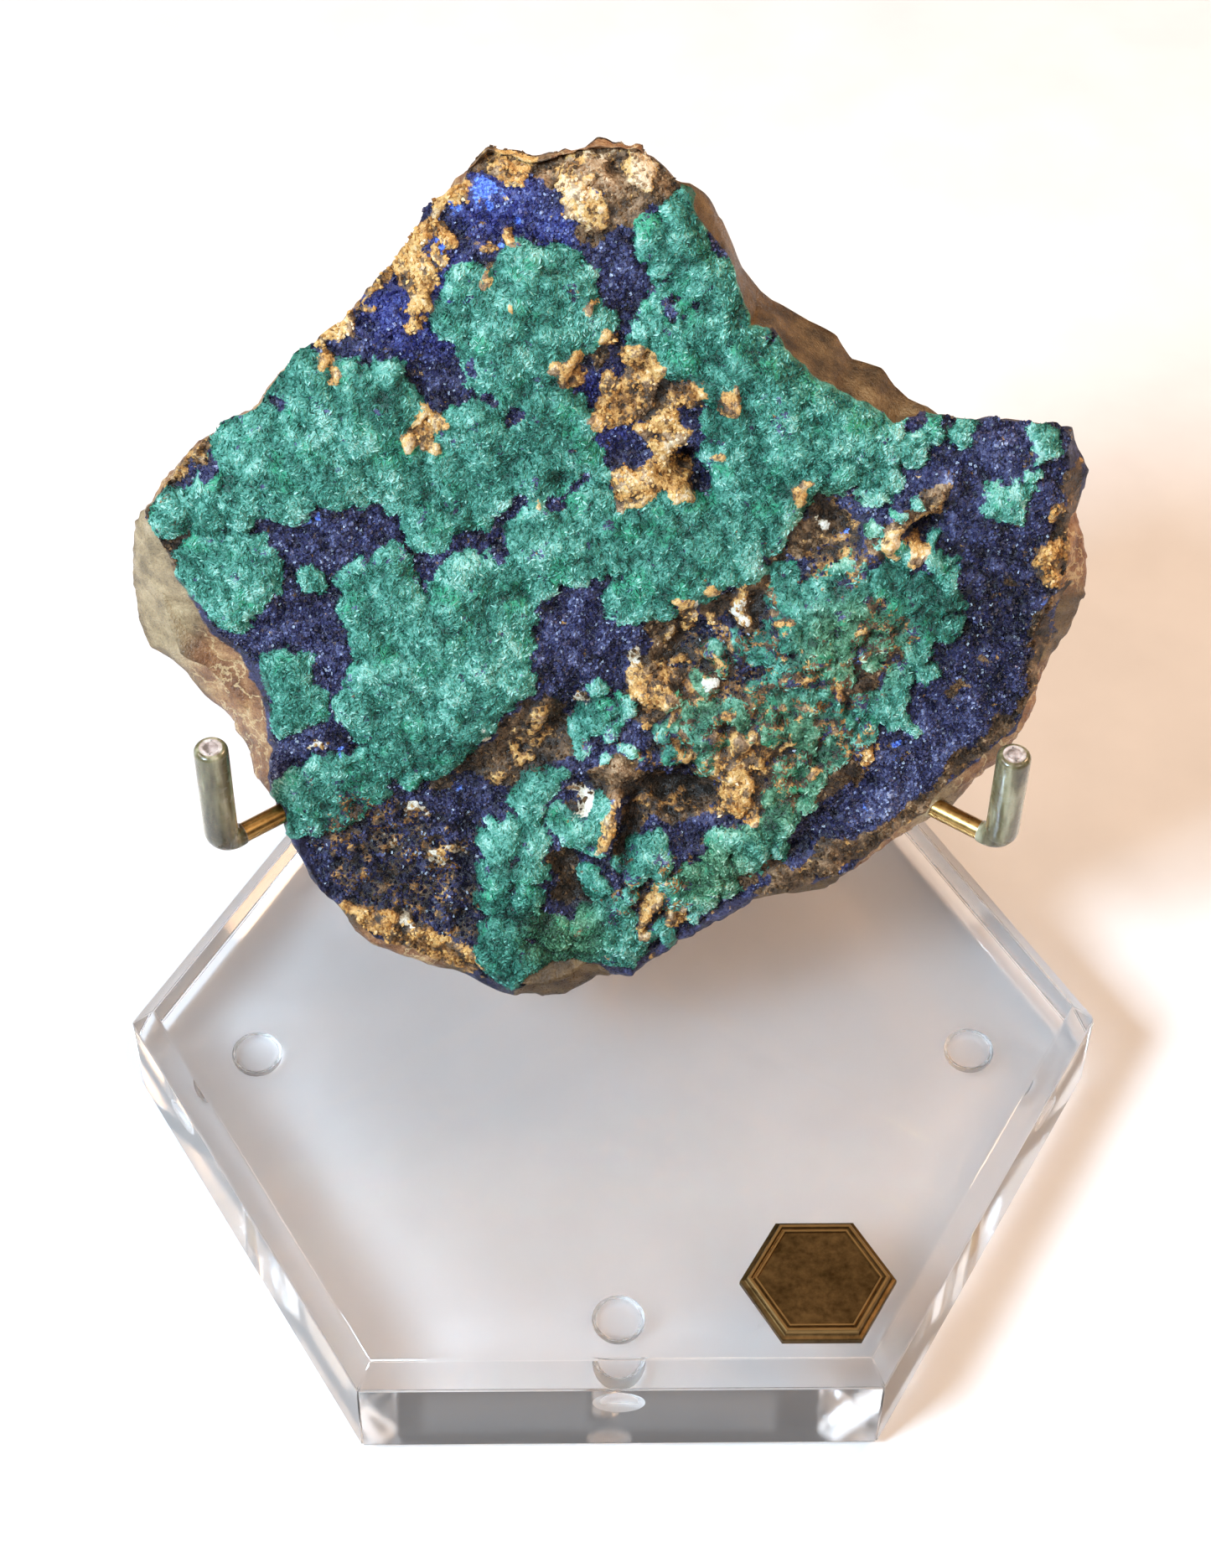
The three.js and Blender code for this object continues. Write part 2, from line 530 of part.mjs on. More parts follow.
// Base: a six-sided block with its upper edges bevelled and a blind socket for the post
function base() {
  const bevelAtVertex = bevel / Math.cos(Math.PI / 6);
  const block = turned([
    [0, footHeight],
    [baseVertexRadius, footHeight],
    [baseVertexRadius, baseTop - bevel],
    [baseVertexRadius - bevelAtVertex, baseTop],
    [0, baseTop],
  ], 6);
  const socket = new THREE.CylinderGeometry(postRadius + gap, postRadius + gap, 2 * socketDepth, 20);
  socket.rotateX(Math.PI / 2).translate(standMiddleX, postY, baseTop);
  place('acrylic_base', fromManifold(toManifold(block).subtract(toManifold(socket))), acrylic);
}

function feet() {
  const footTop = footHeight - gap;
  const profile = [[0, 0], [footRadius - 0.6, 0], [footRadius, 0.6], [footRadius, footTop], [0, footTop]];
  const places = {
    foot_front: [0, footFrontY],
    foot_right: [footReachX, 0],
    foot_back: [0, footBackY],
    foot_left: [-footReachX, 0],
  };
  for (const [name, [x, y]] of Object.entries(places)) {
    place(name, turned(profile, 16), silicone).position.set(x, y, 0);
  }
}

// Badge: a plain six-sided plaque with a stepped edge and a raised border
function badge() {
  const vertex = (flat) => flat / Math.cos(Math.PI / 6);
  const plaque = turned([
    [0, 0],
    [vertex(badgeFlat), 0],
    [vertex(badgeFlat), 1],
    [vertex(badgeFlat - 0.7), 1.3],
    [vertex(badgeFlat - 0.9), 2],
    [vertex(badgeFlat - 1.7), 2],
    [vertex(badgeFlat - 1.9), 1.6],
    [0, 1.6],
  ], 6);
  place('badge', plaque, agedBrass).position.set(...badgePlace, baseTop + gap);
}

// Post, hub, hooked arms and back prong
function holder() {
  const postBottom = baseTop - socketDepth + gap;
  const postTop = armZ - hubHeight / 2 - gap;
  const post = new THREE.CylinderGeometry(postRadius, postRadius, postTop - postBottom, 20);
  post.rotateX(Math.PI / 2);
  place('post', post, brass).position.set(standMiddleX, postY, (postTop + postBottom) / 2);
  const hub = turned([
    [0, -hubHeight / 2],
    [hubRadius - 0.8, -hubHeight / 2],
    [hubRadius, 0.8 - hubHeight / 2],
    [hubRadius, hubHeight / 2 - 0.8],
    [hubRadius - 0.8, hubHeight / 2],
    [0, hubHeight / 2],
  ], 20);
  place('hub', hub, brass).position.set(standMiddleX, postY, armZ);
  place('arm_left', swept(armStations(-1), rodRadius), brass);
  place('arm_right', swept(armStations(1), rodRadius), brass);
  place('back_prong', swept(prongStations, rodRadius), brass);
}

// Soft sleeves over the rods where the specimen rests
function sleeves() {
  for (const [name, side] of [['sleeve_left', -1], ['sleeve_right', 1]]) {
    const [start, ...hook] = armStations(side);
    const mouth = hook[0].clone().add(start.clone().sub(hook[0]).setLength(1.5));
    place(name, swept([mouth, ...hook], sleeveRadius, sleeveBore), vinyl);
  }
  const padMouth = prongStations[prongStations.length - 2];
  place('sleeve_back', swept([padMouth, padTop], sleeveRadius, sleeveBore), vinyl);
}

specimen();
base();
feet();
badge();
holder();
sleeves();

export default specimenStand;
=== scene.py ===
import math

import bmesh
import bpy
import numpy as np
from mathutils import Matrix, Vector


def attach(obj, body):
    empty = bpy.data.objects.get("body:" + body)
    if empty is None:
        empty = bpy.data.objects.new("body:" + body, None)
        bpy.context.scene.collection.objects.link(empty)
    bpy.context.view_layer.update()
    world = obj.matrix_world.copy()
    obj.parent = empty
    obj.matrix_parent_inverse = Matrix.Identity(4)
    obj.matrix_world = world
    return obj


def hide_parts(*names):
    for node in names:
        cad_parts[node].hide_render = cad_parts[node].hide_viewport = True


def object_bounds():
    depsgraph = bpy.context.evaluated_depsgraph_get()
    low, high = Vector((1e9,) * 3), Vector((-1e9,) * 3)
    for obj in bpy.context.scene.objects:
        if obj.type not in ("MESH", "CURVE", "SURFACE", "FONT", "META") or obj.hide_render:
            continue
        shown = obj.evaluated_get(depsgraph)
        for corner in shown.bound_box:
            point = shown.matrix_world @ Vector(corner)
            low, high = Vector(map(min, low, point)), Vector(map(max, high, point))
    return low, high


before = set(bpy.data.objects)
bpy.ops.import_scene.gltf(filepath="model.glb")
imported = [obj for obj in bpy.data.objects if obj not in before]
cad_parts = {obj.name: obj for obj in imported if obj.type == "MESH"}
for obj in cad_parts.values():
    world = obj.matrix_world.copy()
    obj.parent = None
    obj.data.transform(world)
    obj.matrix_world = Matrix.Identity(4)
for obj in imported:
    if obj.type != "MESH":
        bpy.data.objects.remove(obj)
cad_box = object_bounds()

MM = 0.001
MM_PER_M = 1000
SEED = 41
TOP_LIMIT = cad_box[1][2] - 0.00005

# Camera, fitted to the photograph's base. Its lens and sensor are in Blender's own millimetres.
CAMERA_PLACE = (-0.009573, -0.292455, 0.414904)
CAMERA_YAW = math.radians(1.486)
CAMERA_PITCH = math.radians(49.257)
CAMERA_ROLL = math.radians(0.932)
CAMERA_LENS = 71.37
CAMERA_SENSOR = 36
CAMERA_CLIP_START = 0.01

# Stand
GAP = 0.0003
BASE_TOP = 0.02105
ROD_RADIUS = 0.0015
SLEEVE_RADIUS = 0.0025
STAND_MIDDLE_X = -0.0008
POST_Y = 0.041
ARM_Z = 0.061
HOOK_REACH_X = 0.0575
HOOK_Y = 0.001
HOOK_TOP_Z = {-1: 0.0824, 1: 0.0804}
HOOK_BEND_RADIUS = 0.0034
HUB_RADIUS = 0.0055
HUB_HEIGHT = 0.009
ROD_CHAMFER = 0.0003
# The badge's section as (distance to a side, height), and a foot's as (radius, height), in
# millimetres.
PLAQUE_PROFILE = [
    (10, 0), (10, 0.8), (9.85, 1), (9.4, 1.08), (9.25, 1.2), (9.1, 1.85), (8.95, 2), (8.6, 2),
    (8.45, 1.62), (8.2, 1.58), (8.1, 1.9), (7.85, 1.9), (7.75, 1.58), (0.1, 1.55),
]
# The badge is painted lighter wherever it is at least this high, by the share below: a painted
# highlight on its raised border
PLAQUE_HIGHLIGHT_FROM = 1.85
HIGHLIGHT_SHARE = 0.8
FOOT_PROFILE = [
    (2.4, 0.02), (2.9, 0.12), (3.35, 0.35), (3.7, 0.7), (3.92, 1.15), (4, 1.6), (3.95, 2.02),
]
PRONG_BEND_RADIUS = 0.012
# The padded end of the prong, as shares of its last straight stretch
PAD_SHARES = (0, 0.05, 0.1, 0.5, 1)

# Sleeves: how far each reaches past its rod, how thick its open lip is, and its closed end with
# a round shoulder and a dimple, in rings of (radius, depth, how far the ring is a pale cut end)
SLEEVE_CAP = 0.001
SLEEVE_LIP = 0.00015
SLEEVE_FULL_AT = 0.8
SLEEVE_SHOULDER = 0.0009
SHOULDER_STEPS = 6
SLEEVE_DIMPLE = [(0.0011, 0, 0.8), (0.0007, 0.00008, 1.4), (0.0004, 0.00022, 2)]
MOUTH_PALENESS = 0.35

# Widths of the soft edges, the angles past which an edge is bevelled or shaded sharp, and the
# area past which a face of the clear block stays flat
BASE_EDGE = 0.00025
METAL_EDGE = 0.0002
EDGE_SEGMENTS = 2
MERGE_DISTANCE = 0.000001
MERGE_ANGLE = math.radians(2)
BEVEL_ANGLE = math.radians(25)
SOFTENED_SHARP = math.radians(20)
BLOCK_SHARP = math.radians(35)
TUBE_SHARP = math.radians(50)
FLAT_AREA = 0.00002
# How finely round forms are cut up
TUBE_SIDES = 40
FOOT_SIDES = 48
BEND_TURNS = 12

# Clear materials
CLEAR_INDEX = 1.49
ACRYLIC_COLOUR = (0.92, 0.91, 0.91, 1)
SMUDGE_ROUGHNESS = 0.02
FOOT_COLOUR = (0.79, 0.78, 0.78, 1)
FOOT_ROUGHNESS = 0.6

# Light: many bounces, because the clear base mirrors its own sides. Each lamp is a name, a
# place, what it is aimed at, the length of its sides, its power in watts and its colour.
LIGHT_BOUNCES = 24
WORLD_COLOUR = (0.088, 0.074, 0.068, 1)
LAMPS = [
    ("window", (-0.66, -0.5, 0.86), (0, 0, 0.06), 0.3, 18.8, (0.6, 0.81, 1)),
    ("back", (0.74, 0.34, 0.9), (0, 0, 0.06), 0.3, 6, (1, 0.66, 0.4)),
    ("left", (-0.85, 0.12, 0.95), (0, 0, 0.05), 0.5, 4.4, (1, 0.9, 0.82)),
    ("front", (0.55, -0.62, 1.15), (0, 0, 0.05), 0.6, 5.8, (1, 0.82, 0.66)),
    ("ceiling", (0, 0.08, 1.5), (0, 0, 0.05), 1, 3.6, (1, 0.76, 0.58)),
]
FLOOR_REACH = 3

# Colours from dark to light, as the tone at which each is reached and its 0 to 255 levels
NAVY = [
    (0.12, (13, 13, 26)), (0.36, (34, 33, 60)), (0.56, (58, 60, 98)), (0.76, (98, 104, 144)),
    (0.95, (168, 176, 204)),
]
ULTRAMARINE = [
    (0.12, (14, 14, 46)), (0.36, (34, 36, 91)), (0.56, (57, 62, 129)), (0.76, (92, 104, 167)),
    (0.95, (160, 174, 218)),
]
BRIGHT_BLUE = [(0.35, (36, 52, 150)), (0.5, (66, 104, 214)), (0.65, (132, 172, 240))]
TEAL = [
    (0.08, (8, 40, 33)), (0.3, (24, 81, 67)), (0.48, (52, 122, 104)), (0.66, (96, 170, 151)),
    (0.9, (174, 221, 207)),
]
OLIVE_GREEN = [
    (0.08, (16, 38, 22)), (0.3, (44, 80, 50)), (0.48, (78, 124, 84)), (0.66, (122, 168, 126)),
    (0.9, (192, 216, 182)),
]
VIVID_GREEN = [(0.3, (8, 84, 58)), (0.6, (40, 164, 116))]
OCHRE_EARTH = [
    (0.12, (66, 47, 29)), (0.34, (134, 90, 44)), (0.52, (197, 146, 80)), (0.72, (230, 187, 117)),
    (0.92, (239, 217, 181)),
]
BROWN_EARTH = [
    (0.12, (28, 21, 14)), (0.34, (62, 45, 30)), (0.52, (98, 73, 48)), (0.72, (144, 112, 80)),
    (0.92, (188, 158, 124)),
]
CREAM_EARTH = [(0.3, (150, 132, 108)), (0.5, (208, 194, 168)), (0.7, (238, 232, 218))]
DRAB_ROCK = [
    (0.3, (52, 38, 24)), (0.48, (98, 74, 46)), (0.62, (132, 104, 68)), (0.8, (172, 146, 108)),
]
PALE_ROCK = [
    (0.3, (113, 97, 73)), (0.48, (161, 137, 102)), (0.62, (189, 165, 128)), (0.8, (211, 192, 161)),
]
RUSTY_ROCK = [
    (0.3, (94, 58, 36)), (0.48, (146, 100, 66)), (0.6, (182, 138, 94)), (0.75, (222, 194, 150)),
]
ROCK_VEIN = (226, 196, 146)
VINYL = [(0.36, (66, 58, 34)), (0.5, (112, 104, 74)), (0.62, (168, 162, 132))]
VINYL_CUT = [(0.35, (150, 134, 124)), (0.5, (206, 190, 184)), (0.65, (236, 226, 222))]
VINYL_CORE = (168, 112, 98)
BRASS = [(0.35, (148, 110, 58)), (0.65, (206, 170, 108))]
AGED_BRASS = [(0.35, (78, 60, 34)), (0.65, (124, 99, 64))]
# The lighter brass of the badge's painted highlight
HIGHLIGHT_BRASS = (176, 142, 92)
TABLE = [(0.3, (240, 236, 234)), (0.7, (247, 243, 241))]

# Specimen: the face plane leans back about its own middle, FACE_PLANE. All lengths after it are
# in millimetres. The back's rim is the girdle shrunk. The back is flat about REST_PLACE, where
# the prong's pad rests, and grows rough between the two distances of REST_CLEAR.
LEAN = math.radians(25)
FACE_PLANE = (0, 0.0255, 0.107)
FACE_STEPS = 256
FACE_SPAN = 95
BODY_THICKNESS = 20
THINNEST = 3.5
BACK_RIM = 0.93
BACK_RIM_DEPTH = 0.68
REST_PLACE = (-0.8, 0)
REST_HALF_LENGTH = 9
REST_CLEAR = (8, 18)
# The face falls away towards its top edge, between two heights, and all round its rim
TOP_DROP = 3
TOP_DROP_FROM = (44, 51)
RIM_DROP = 1.2
RIM_DROP_WIDTH = 4
RAGGED_WIDTH = 3

# Small solids scattered over the face. Sizes are half lengths, and each solid's middle stands
# off the face by a share of its half height.
BLADE_SIZE = (0.46, 0.13, 0.22)
CRYSTAL_SIZE = (0.2, 0.15, 0.2)
CRUMB_SIZE = (0.4, 0.34, 0.3)
CRYSTAL_LIFT = 0.1
TONE_SPREAD = 0.12
# The shares of the face's cells that grow blades, crystals and crumbs
BLADE_SHARE = 0.85
CRYSTAL_SHARE = 0.8
CRUMB_SHARE = 0.3
# The solids' own forms, as corners and faces
DOUBLE_PYRAMID = (
    [(1, 0, 0), (0, 1, 0), (-1, 0, 0), (0, -1, 0), (0, 0, 1), (0, 0, -1)],
    [(0, 1, 4), (1, 2, 4), (2, 3, 4), (3, 0, 4), (1, 0, 5), (2, 1, 5), (3, 2, 5), (0, 3, 5)],
)
BLOCK = (
    [(x, y, z) for z in (-1, 1) for y in (-1, 1) for x in (-1, 1)],
    [(0, 2, 3, 1), (4, 5, 7, 6), (0, 1, 5, 4), (2, 6, 7, 3), (0, 4, 6, 2), (1, 3, 7, 5)],
)

# Noise: whole numbers that stir the lattice's values, how far knobs stray from an even grid,
# and the sizes of the noise that pushes outlines about. FAR_OFF is farther than all that counts,
# depths are cut off at DEEP_ENOUGH, and NO_DISTANCE keeps a division away from nought.
LATTICE_FACTORS = (374761393, 668265263, 1274126177)
LATTICE_STIR = np.uint64(1103515245)
LOW_BITS = np.uint64(0xFFFFFFFF)
BUBBLE_JITTER = 0.42
WARP_SIZES = (4.5, 2, 0.9)
FAR_OFF = 9.0
DEEP_ENOUGH = 3
NO_DISTANCE = 0.000000001

# The rock's outline seen from the front. The face's rim comes first, from its top to its bottom
# corner on either side, then the girdle where the rock is widest, as x, y and depth behind the
# face, then the back's flat facets, as the slopes along x and y and the depth at the middle.
TOP_TO_LEFT = [
    (2.5, 49.8), (0, 50.6), (-3.5, 50.4), (-5, 49.6), (-10, 49), (-12, 48.4), (-15, 49.2),
    (-18, 49.8), (-20, 48.3), (-22, 45.8), (-26, 43), (-27.5, 40.3), (-31, 35), (-35, 30),
    (-40, 25.3), (-45, 22), (-48, 17.7), (-51, 14), (-55, 12), (-60, 7.5), (-63, 3.5), (-66, 0.5),
    (-67.3, -2), (-66.5, -4),
]
LEFT_TO_BOTTOM = [
    (-66.5, -4), (-64.5, -8.5), (-62, -12.5), (-60.2, -16), (-58.5, -19.5), (-55, -22.5),
    (-52, -25), (-50.4, -28), (-50.6, -31), (-50.8, -34), (-50, -38), (-51, -43), (-50.3, -47.5),
    (-48.5, -52.5), (-46.5, -54), (-45, -59), (-43, -63), (-40, -66), (-36.5, -70), (-30, -72),
    (-26.5, -74.3), (-21.5, -74.3), (-20, -77), (-15.5, -78),
]
TOP_TO_RIGHT = [
    (2.5, 49.8), (5.5, 47), (8.5, 44.4), (10.5, 40.5), (13.5, 36.5), (16, 32.5), (17, 28.5),
    (18, 25.3), (20.5, 25), (24, 20.5), (25.5, 18.6), (30, 16), (35, 13.6), (38.5, 10.8), (41, 12),
    (46, 12), (49.5, 12.2), (55, 11.8), (61.5, 11.2), (63.6, 9.5), (63.4, 7.5), (63.8, 3),
    (63.4, -1), (63.8, -5), (64.5, -9), (63.5, -14), (61.5, -19), (60, -24.5), (60.5, -28),
    (60.5, -30.5),
]
RIGHT_TO_BOTTOM = [
    (60.5, -30.5), (58.5, -35), (56.5, -37.5), (53, -40.5), (49.5, -43.8), (46.8, -46.8),
    (44, -50.3), (41, -52), (38.5, -55), (35.5, -58), (31.5, -60), (26.5, -61.3), (24.5, -61),
    (21, -63), (16.5, -64), (13.5, -67), (9, -70), (7, -71), (4.5, -73), (2.5, -75.8), (0.5, -75),
    (-4, -73.5), (-8, -73.5), (-12, -76.5), (-15.5, -78),
]
GIRDLE = [
    (2.6, 49.7, 4), (-3.4, 49.5, 4), (-12, 48, 4), (-18, 49, 4), (-22, 45.4, 4), (-26.1, 40, 5),
    (-31.2, 32.8, 5), (-39.4, 23.5, 5), (-45.4, 18.8, 5), (-51.8, 11.7, 5), (-60.6, 6.6, 5),
    (-65.2, 1.3, 5), (-69.6, -5.5, 7), (-71.2, -11.8, 9), (-71.6, -16.6, 11), (-70.6, -21.6, 12),
    (-69, -26, 11), (-65.2, -28.2, 10), (-63.3, -30.4, 10), (-60.7, -34.2, 10), (-57, -37.3, 9),
    (-55.7, -42, 8), (-53.4, -46.2, 6), (-50.9, -49.8, 4), (-48.3, -54.9, 3), (-45.3, -61, 3),
    (-40.2, -68, 3), (-36.7, -72, 3), (-30, -74.1, 3), (-26, -76.4, 3), (-20.6, -78.8, 3),
    (-15.6, -81.3, 4), (-11, -81.7, 4), (-6.5, -80.1, 4), (-2.9, -77.4, 4), (2.6, -77.6, 3),
    (9, -71.8, 3), (13.7, -68.8, 3), (21.2, -64.7, 3), (31.8, -61.8, 3), (38.8, -56.7, 3),
    (43.4, -53.4, 3.5), (47.6, -51.7, 4.5), (51, -49.7, 5), (53, -46.8, 5), (55.8, -43.7, 5),
    (58.6, -39.2, 4), (62, -32.7, 4), (62.5, -29.7, 4), (64.2, -26.5, 5), (66, -21, 5),
    (67, -15.9, 5), (67.5, -9.8, 5), (67.2, -6.3, 5), (66, -2.4, 4), (67.2, 2.7, 4), (66, 5.7, 4),
    (64.4, 9.7, 4), (55.6, 10.6, 4), (48.6, 10.8, 4), (44.6, 11.6, 5), (41.3, 12.9, 6),
    (40, 14.5, 7), (37.2, 17.2, 8), (33, 18.4, 9), (30.9, 21.4, 10), (24.8, 24.9, 10),
    (20.1, 27.8, 10), (17.4, 31.3, 10), (14.2, 38.5, 8), (9.7, 44, 5), (5.6, 47.1, 4),
]
GIRDLE_MIDDLE = (0, -12)
FACETS = [
    (0.02, -0.3, 26.5), (-0.12, -0.5, 32), (0.3, -0.16, 27.5), (0.34, 0.2, 31.5), (0.1, 0.3, 27),
    (-0.03, 0.5, 36), (-0.16, 0.16, 24.5), (-0.3, 0.02, 29), (-0.42, -0.1, 38), (0.55, 0.05, 44),
]

# Malachite lobes that stand up from the face: x, y, radius
LOBES = [
    (-44, 17, 5), (-37, 17, 5), (-50, 11, 5.5), (-43, 11, 6.5), (-36, 11, 6.5), (-54, 8, 4),
    (-48, 5, 6), (-40, 5, 6.5), (-33, 6, 6), (-57, 3, 3.5), (-53, 1, 4.5), (-47, 0.5, 3.5),
    (-30, 2, 5), (-25, 3, 5), (-27, -3, 4.5), (-55, -11, 6.8), (-58, -8, 4.5), (-56, -16, 4),
    (-37, -11, 3.8), (-33, -11, 4.5), (-37, -16, 4), (-32, -16, 5), (-36, -20, 3.5), (-30, -21, 4),
    (-48, -26, 4.5), (-46.5, -30.5, 4.5), (-48, -34, 3), (-33, -27, 7), (-37, -31, 4.5),
    (-27, -22, 6.5), (-22, -27, 7), (-30, -34, 6), (-24, -33, 5.5), (-18, -22, 6.5),
    (-16, -27, 4.5), (-17, -17, 5.5), (-22, -14, 6), (-33, -38, 4.5), (-27, -40, 4.5),
    (-46, -46, 4.5), (-42, -43, 4), (-47, -50, 3.5), (-42, -48.5, 4), (-38, -45, 3.5), (-21, 31, 4),
    (-22, 27, 4), (-14, 33, 5), (-8, 32, 5), (-16, 28, 6), (-9, 26, 6.5), (-3, 26, 3), (-17, 21, 6),
    (-11, 20, 5), (-10, 14, 5.5), (-20, 11, 4.5), (-11, 8, 6), (-6, 6, 4), (-19, 3, 5), (-13, 4, 5),
    (-22, -1, 4), (-10, -2, 5), (-5, 0, 5), (-12, -7, 5.5), (-6, -8, 5), (-17, -11, 4.5),
    (5, 38, 3.5), (9, 38, 4), (11, 33, 4.5), (13.5, 29, 3.5), (7, 27, 4.5), (12, 25, 5.5),
    (17, 22, 4.5), (8, 21, 4), (21, 20, 4.5), (22, 14, 6), (28, 13, 4), (16, 8, 4), (23, 8, 5),
    (29, 10, 5.5), (34, 9, 5), (38, 8, 3), (31, 5, 4), (18, 2, 5), (22, -1, 4.5), (17, -4, 5.5),
    (11, -5, 5.5), (17, -9, 4.5), (5, -4, 5.5), (0, -3, 4), (4, -10, 5), (9, -11, 5), (2, -15, 4),
    (7, -15.5, 3.5), (61, 8.5, 2.4), (55, 0, 3.6), (25, -16, 3.6), (29, -14, 3), (29, -19, 3),
    (34, -16, 4), (38, -12, 3.5), (39, -17, 3.5), (43, -14, 3.5), (47, -15, 3), (44, -19, 3.5),
    (33, -21, 3), (28, -23, 3), (25, -26, 3), (40, -32, 3.5), (22, -30, 3), (27, -31, 3),
    (17, -32, 3), (12, -33, 3), (27, -35, 3), (32, -34, 3), (12, -37, 3), (24, -50, 3),
    (20, -52, 3.5), (16, -52, 3), (-11, -45, 3), (-13, -48, 3), (-5, -51.5, 3), (-12, -53, 3),
    (-17, -52, 3), (-18, -58, 3.5), (-13, -58, 3), (-14, -63, 3), (-17, -68, 4.5), (-19, -72, 3.5),
    (-14, -72, 4), (-5, -71, 3), (-4, -66, 3.5), (0, -65, 3.5), (-1, -70, 4), (2, -72.5, 3),
    (5, -55, 3), (9, -61.5, 3.5), (13, -60, 3.5), (14.5, 31, 3.4), (17.5, 26, 3.6), (22.5, 20, 3.4),
    (27, 16.5, 3.4), (33, 13, 3.4), (38, 10, 3), (9.5, 41, 3), (-62, 0, 3), (-64, -3, 2.5),
]
# Smaller lobes that join them up or stand alone
SMALL_LOBES = [
    (-33, 19, 3), (-31, 14, 3.5), (-34, 2.5, 3.5), (-58, -2, 3.5), (-53, -2.5, 2.5),
    (-59, -12, 3.5), (-51.5, -9, 3.5), (-43.5, -11.5, 2), (-23.5, -39, 2.5), (-35.5, -35, 4),
    (-31, -43, 2.5), (-36, -41, 3.5), (-5, 24, 3), (-16, 17, 4), (-22, 10, 4.5), (-18, 8, 4.5),
    (-6, 11, 2.5), (-4, 5, 3), (-11, -12, 3), (6, 34, 2.5), (4, 26, 2.5), (3, 23, 2), (13, 18, 4),
    (17, 13, 4), (37, 4, 3.5), (36, 0.5, 2), (26, 3, 3), (13, 11, 2.5), (13, 6, 1.5), (22, -5, 3),
    (22, 4, 4), (13, -12, 2.5), (0, -7, 4), (42, 8, 2.5), (45, 9, 1.5), (48.5, 10.3, 1.8),
    (44, 11, 1.2), (59, 10.5, 1.5), (62, 7, 1.3), (53, 1.5, 2), (56, 2, 2), (56.5, -1.5, 1.8),
    (52, -1, 1.5), (58.7, 4.5, 1.5), (58.5, 2.5, 1), (24, -12, 2.5), (33, -11, 3), (33, -8.8, 1.5),
    (40, -8, 2.5), (46, -9, 1.8), (45.5, -6.5, 1.2), (47.5, -12, 2), (48, -20, 2), (39, -21, 2.5),
    (24, -20, 2.5), (32, -26, 2.5), (37, -24, 2), (43, -24, 2.5), (45, -27, 2), (41, -28, 2.5),
    (21, -23, 2.5), (17, -22, 2), (13, -23, 2), (15, -25, 2), (36, -31, 2), (42, -35, 2.2),
    (31, -29.5, 1.8), (28, -27, 2), (12, -28, 2), (8, -31, 1.5), (22, -35, 2.5), (36, -36, 2.5),
    (17, -37, 2), (8, -36, 2), (8, -40, 2.5), (12, -41, 2), (32, -39, 2.5), (28, -39, 2),
    (25, -42, 2.5), (29, -43, 2.5), (24, -46, 2.5), (28, -47, 2), (15, -55.5, 2.5), (20, -56, 2.5),
    (24, -54, 2), (-3, -29, 2), (1, -32, 2), (-3, -33.5, 2.5), (0, -35, 1.5), (-5, -36, 2),
    (-4.5, -38.5, 1.5), (-1, -39.5, 1), (2, -38.5, 1.5), (-9, -42, 2), (-8, -50, 2), (-3, -47, 2.5),
    (-3.5, -54, 1.5), (-19, -54, 2.5), (-19, -62.5, 2.5), (-12, -66, 2), (-9, -67.5, 2.8),
    (-16, -75.5, 2.5), (-9, -72, 2.5), (-11, -74, 2), (-3.5, -60, 2.5), (4, -70, 2), (2, -61, 2),
    (3, -57, 2.5), (5.5, -54, 2.5), (7.5, -57, 1.5), (2.5, -60, 1.5), (7, -68, 2), (8, -70, 1.8),
    (12, -66, 1.5), (12.5, -63, 2.5), (17, -61, 2), (17, -58, 2.5), (0, -56, 1), (37, -4.6, 1.3),
    (39.4, -2.4, 1.2), (41.6, -0.6, 1),
]
# Gaps in the malachite where azurite shows
WINDOWS = [
    (-18, 16, 1.3), (-14.5, 12.5, 1.6), (-20.5, 19.5, 1.2), (-9, 1.5, 1.2), (-7, 2.5, 1),
    (-15, -1, -18, -7, 1.1), (-48, 15.5, 1.5), (-59, 5, 1.8), (7, 28, 1.2), (10, 28.5, 0.8),
]
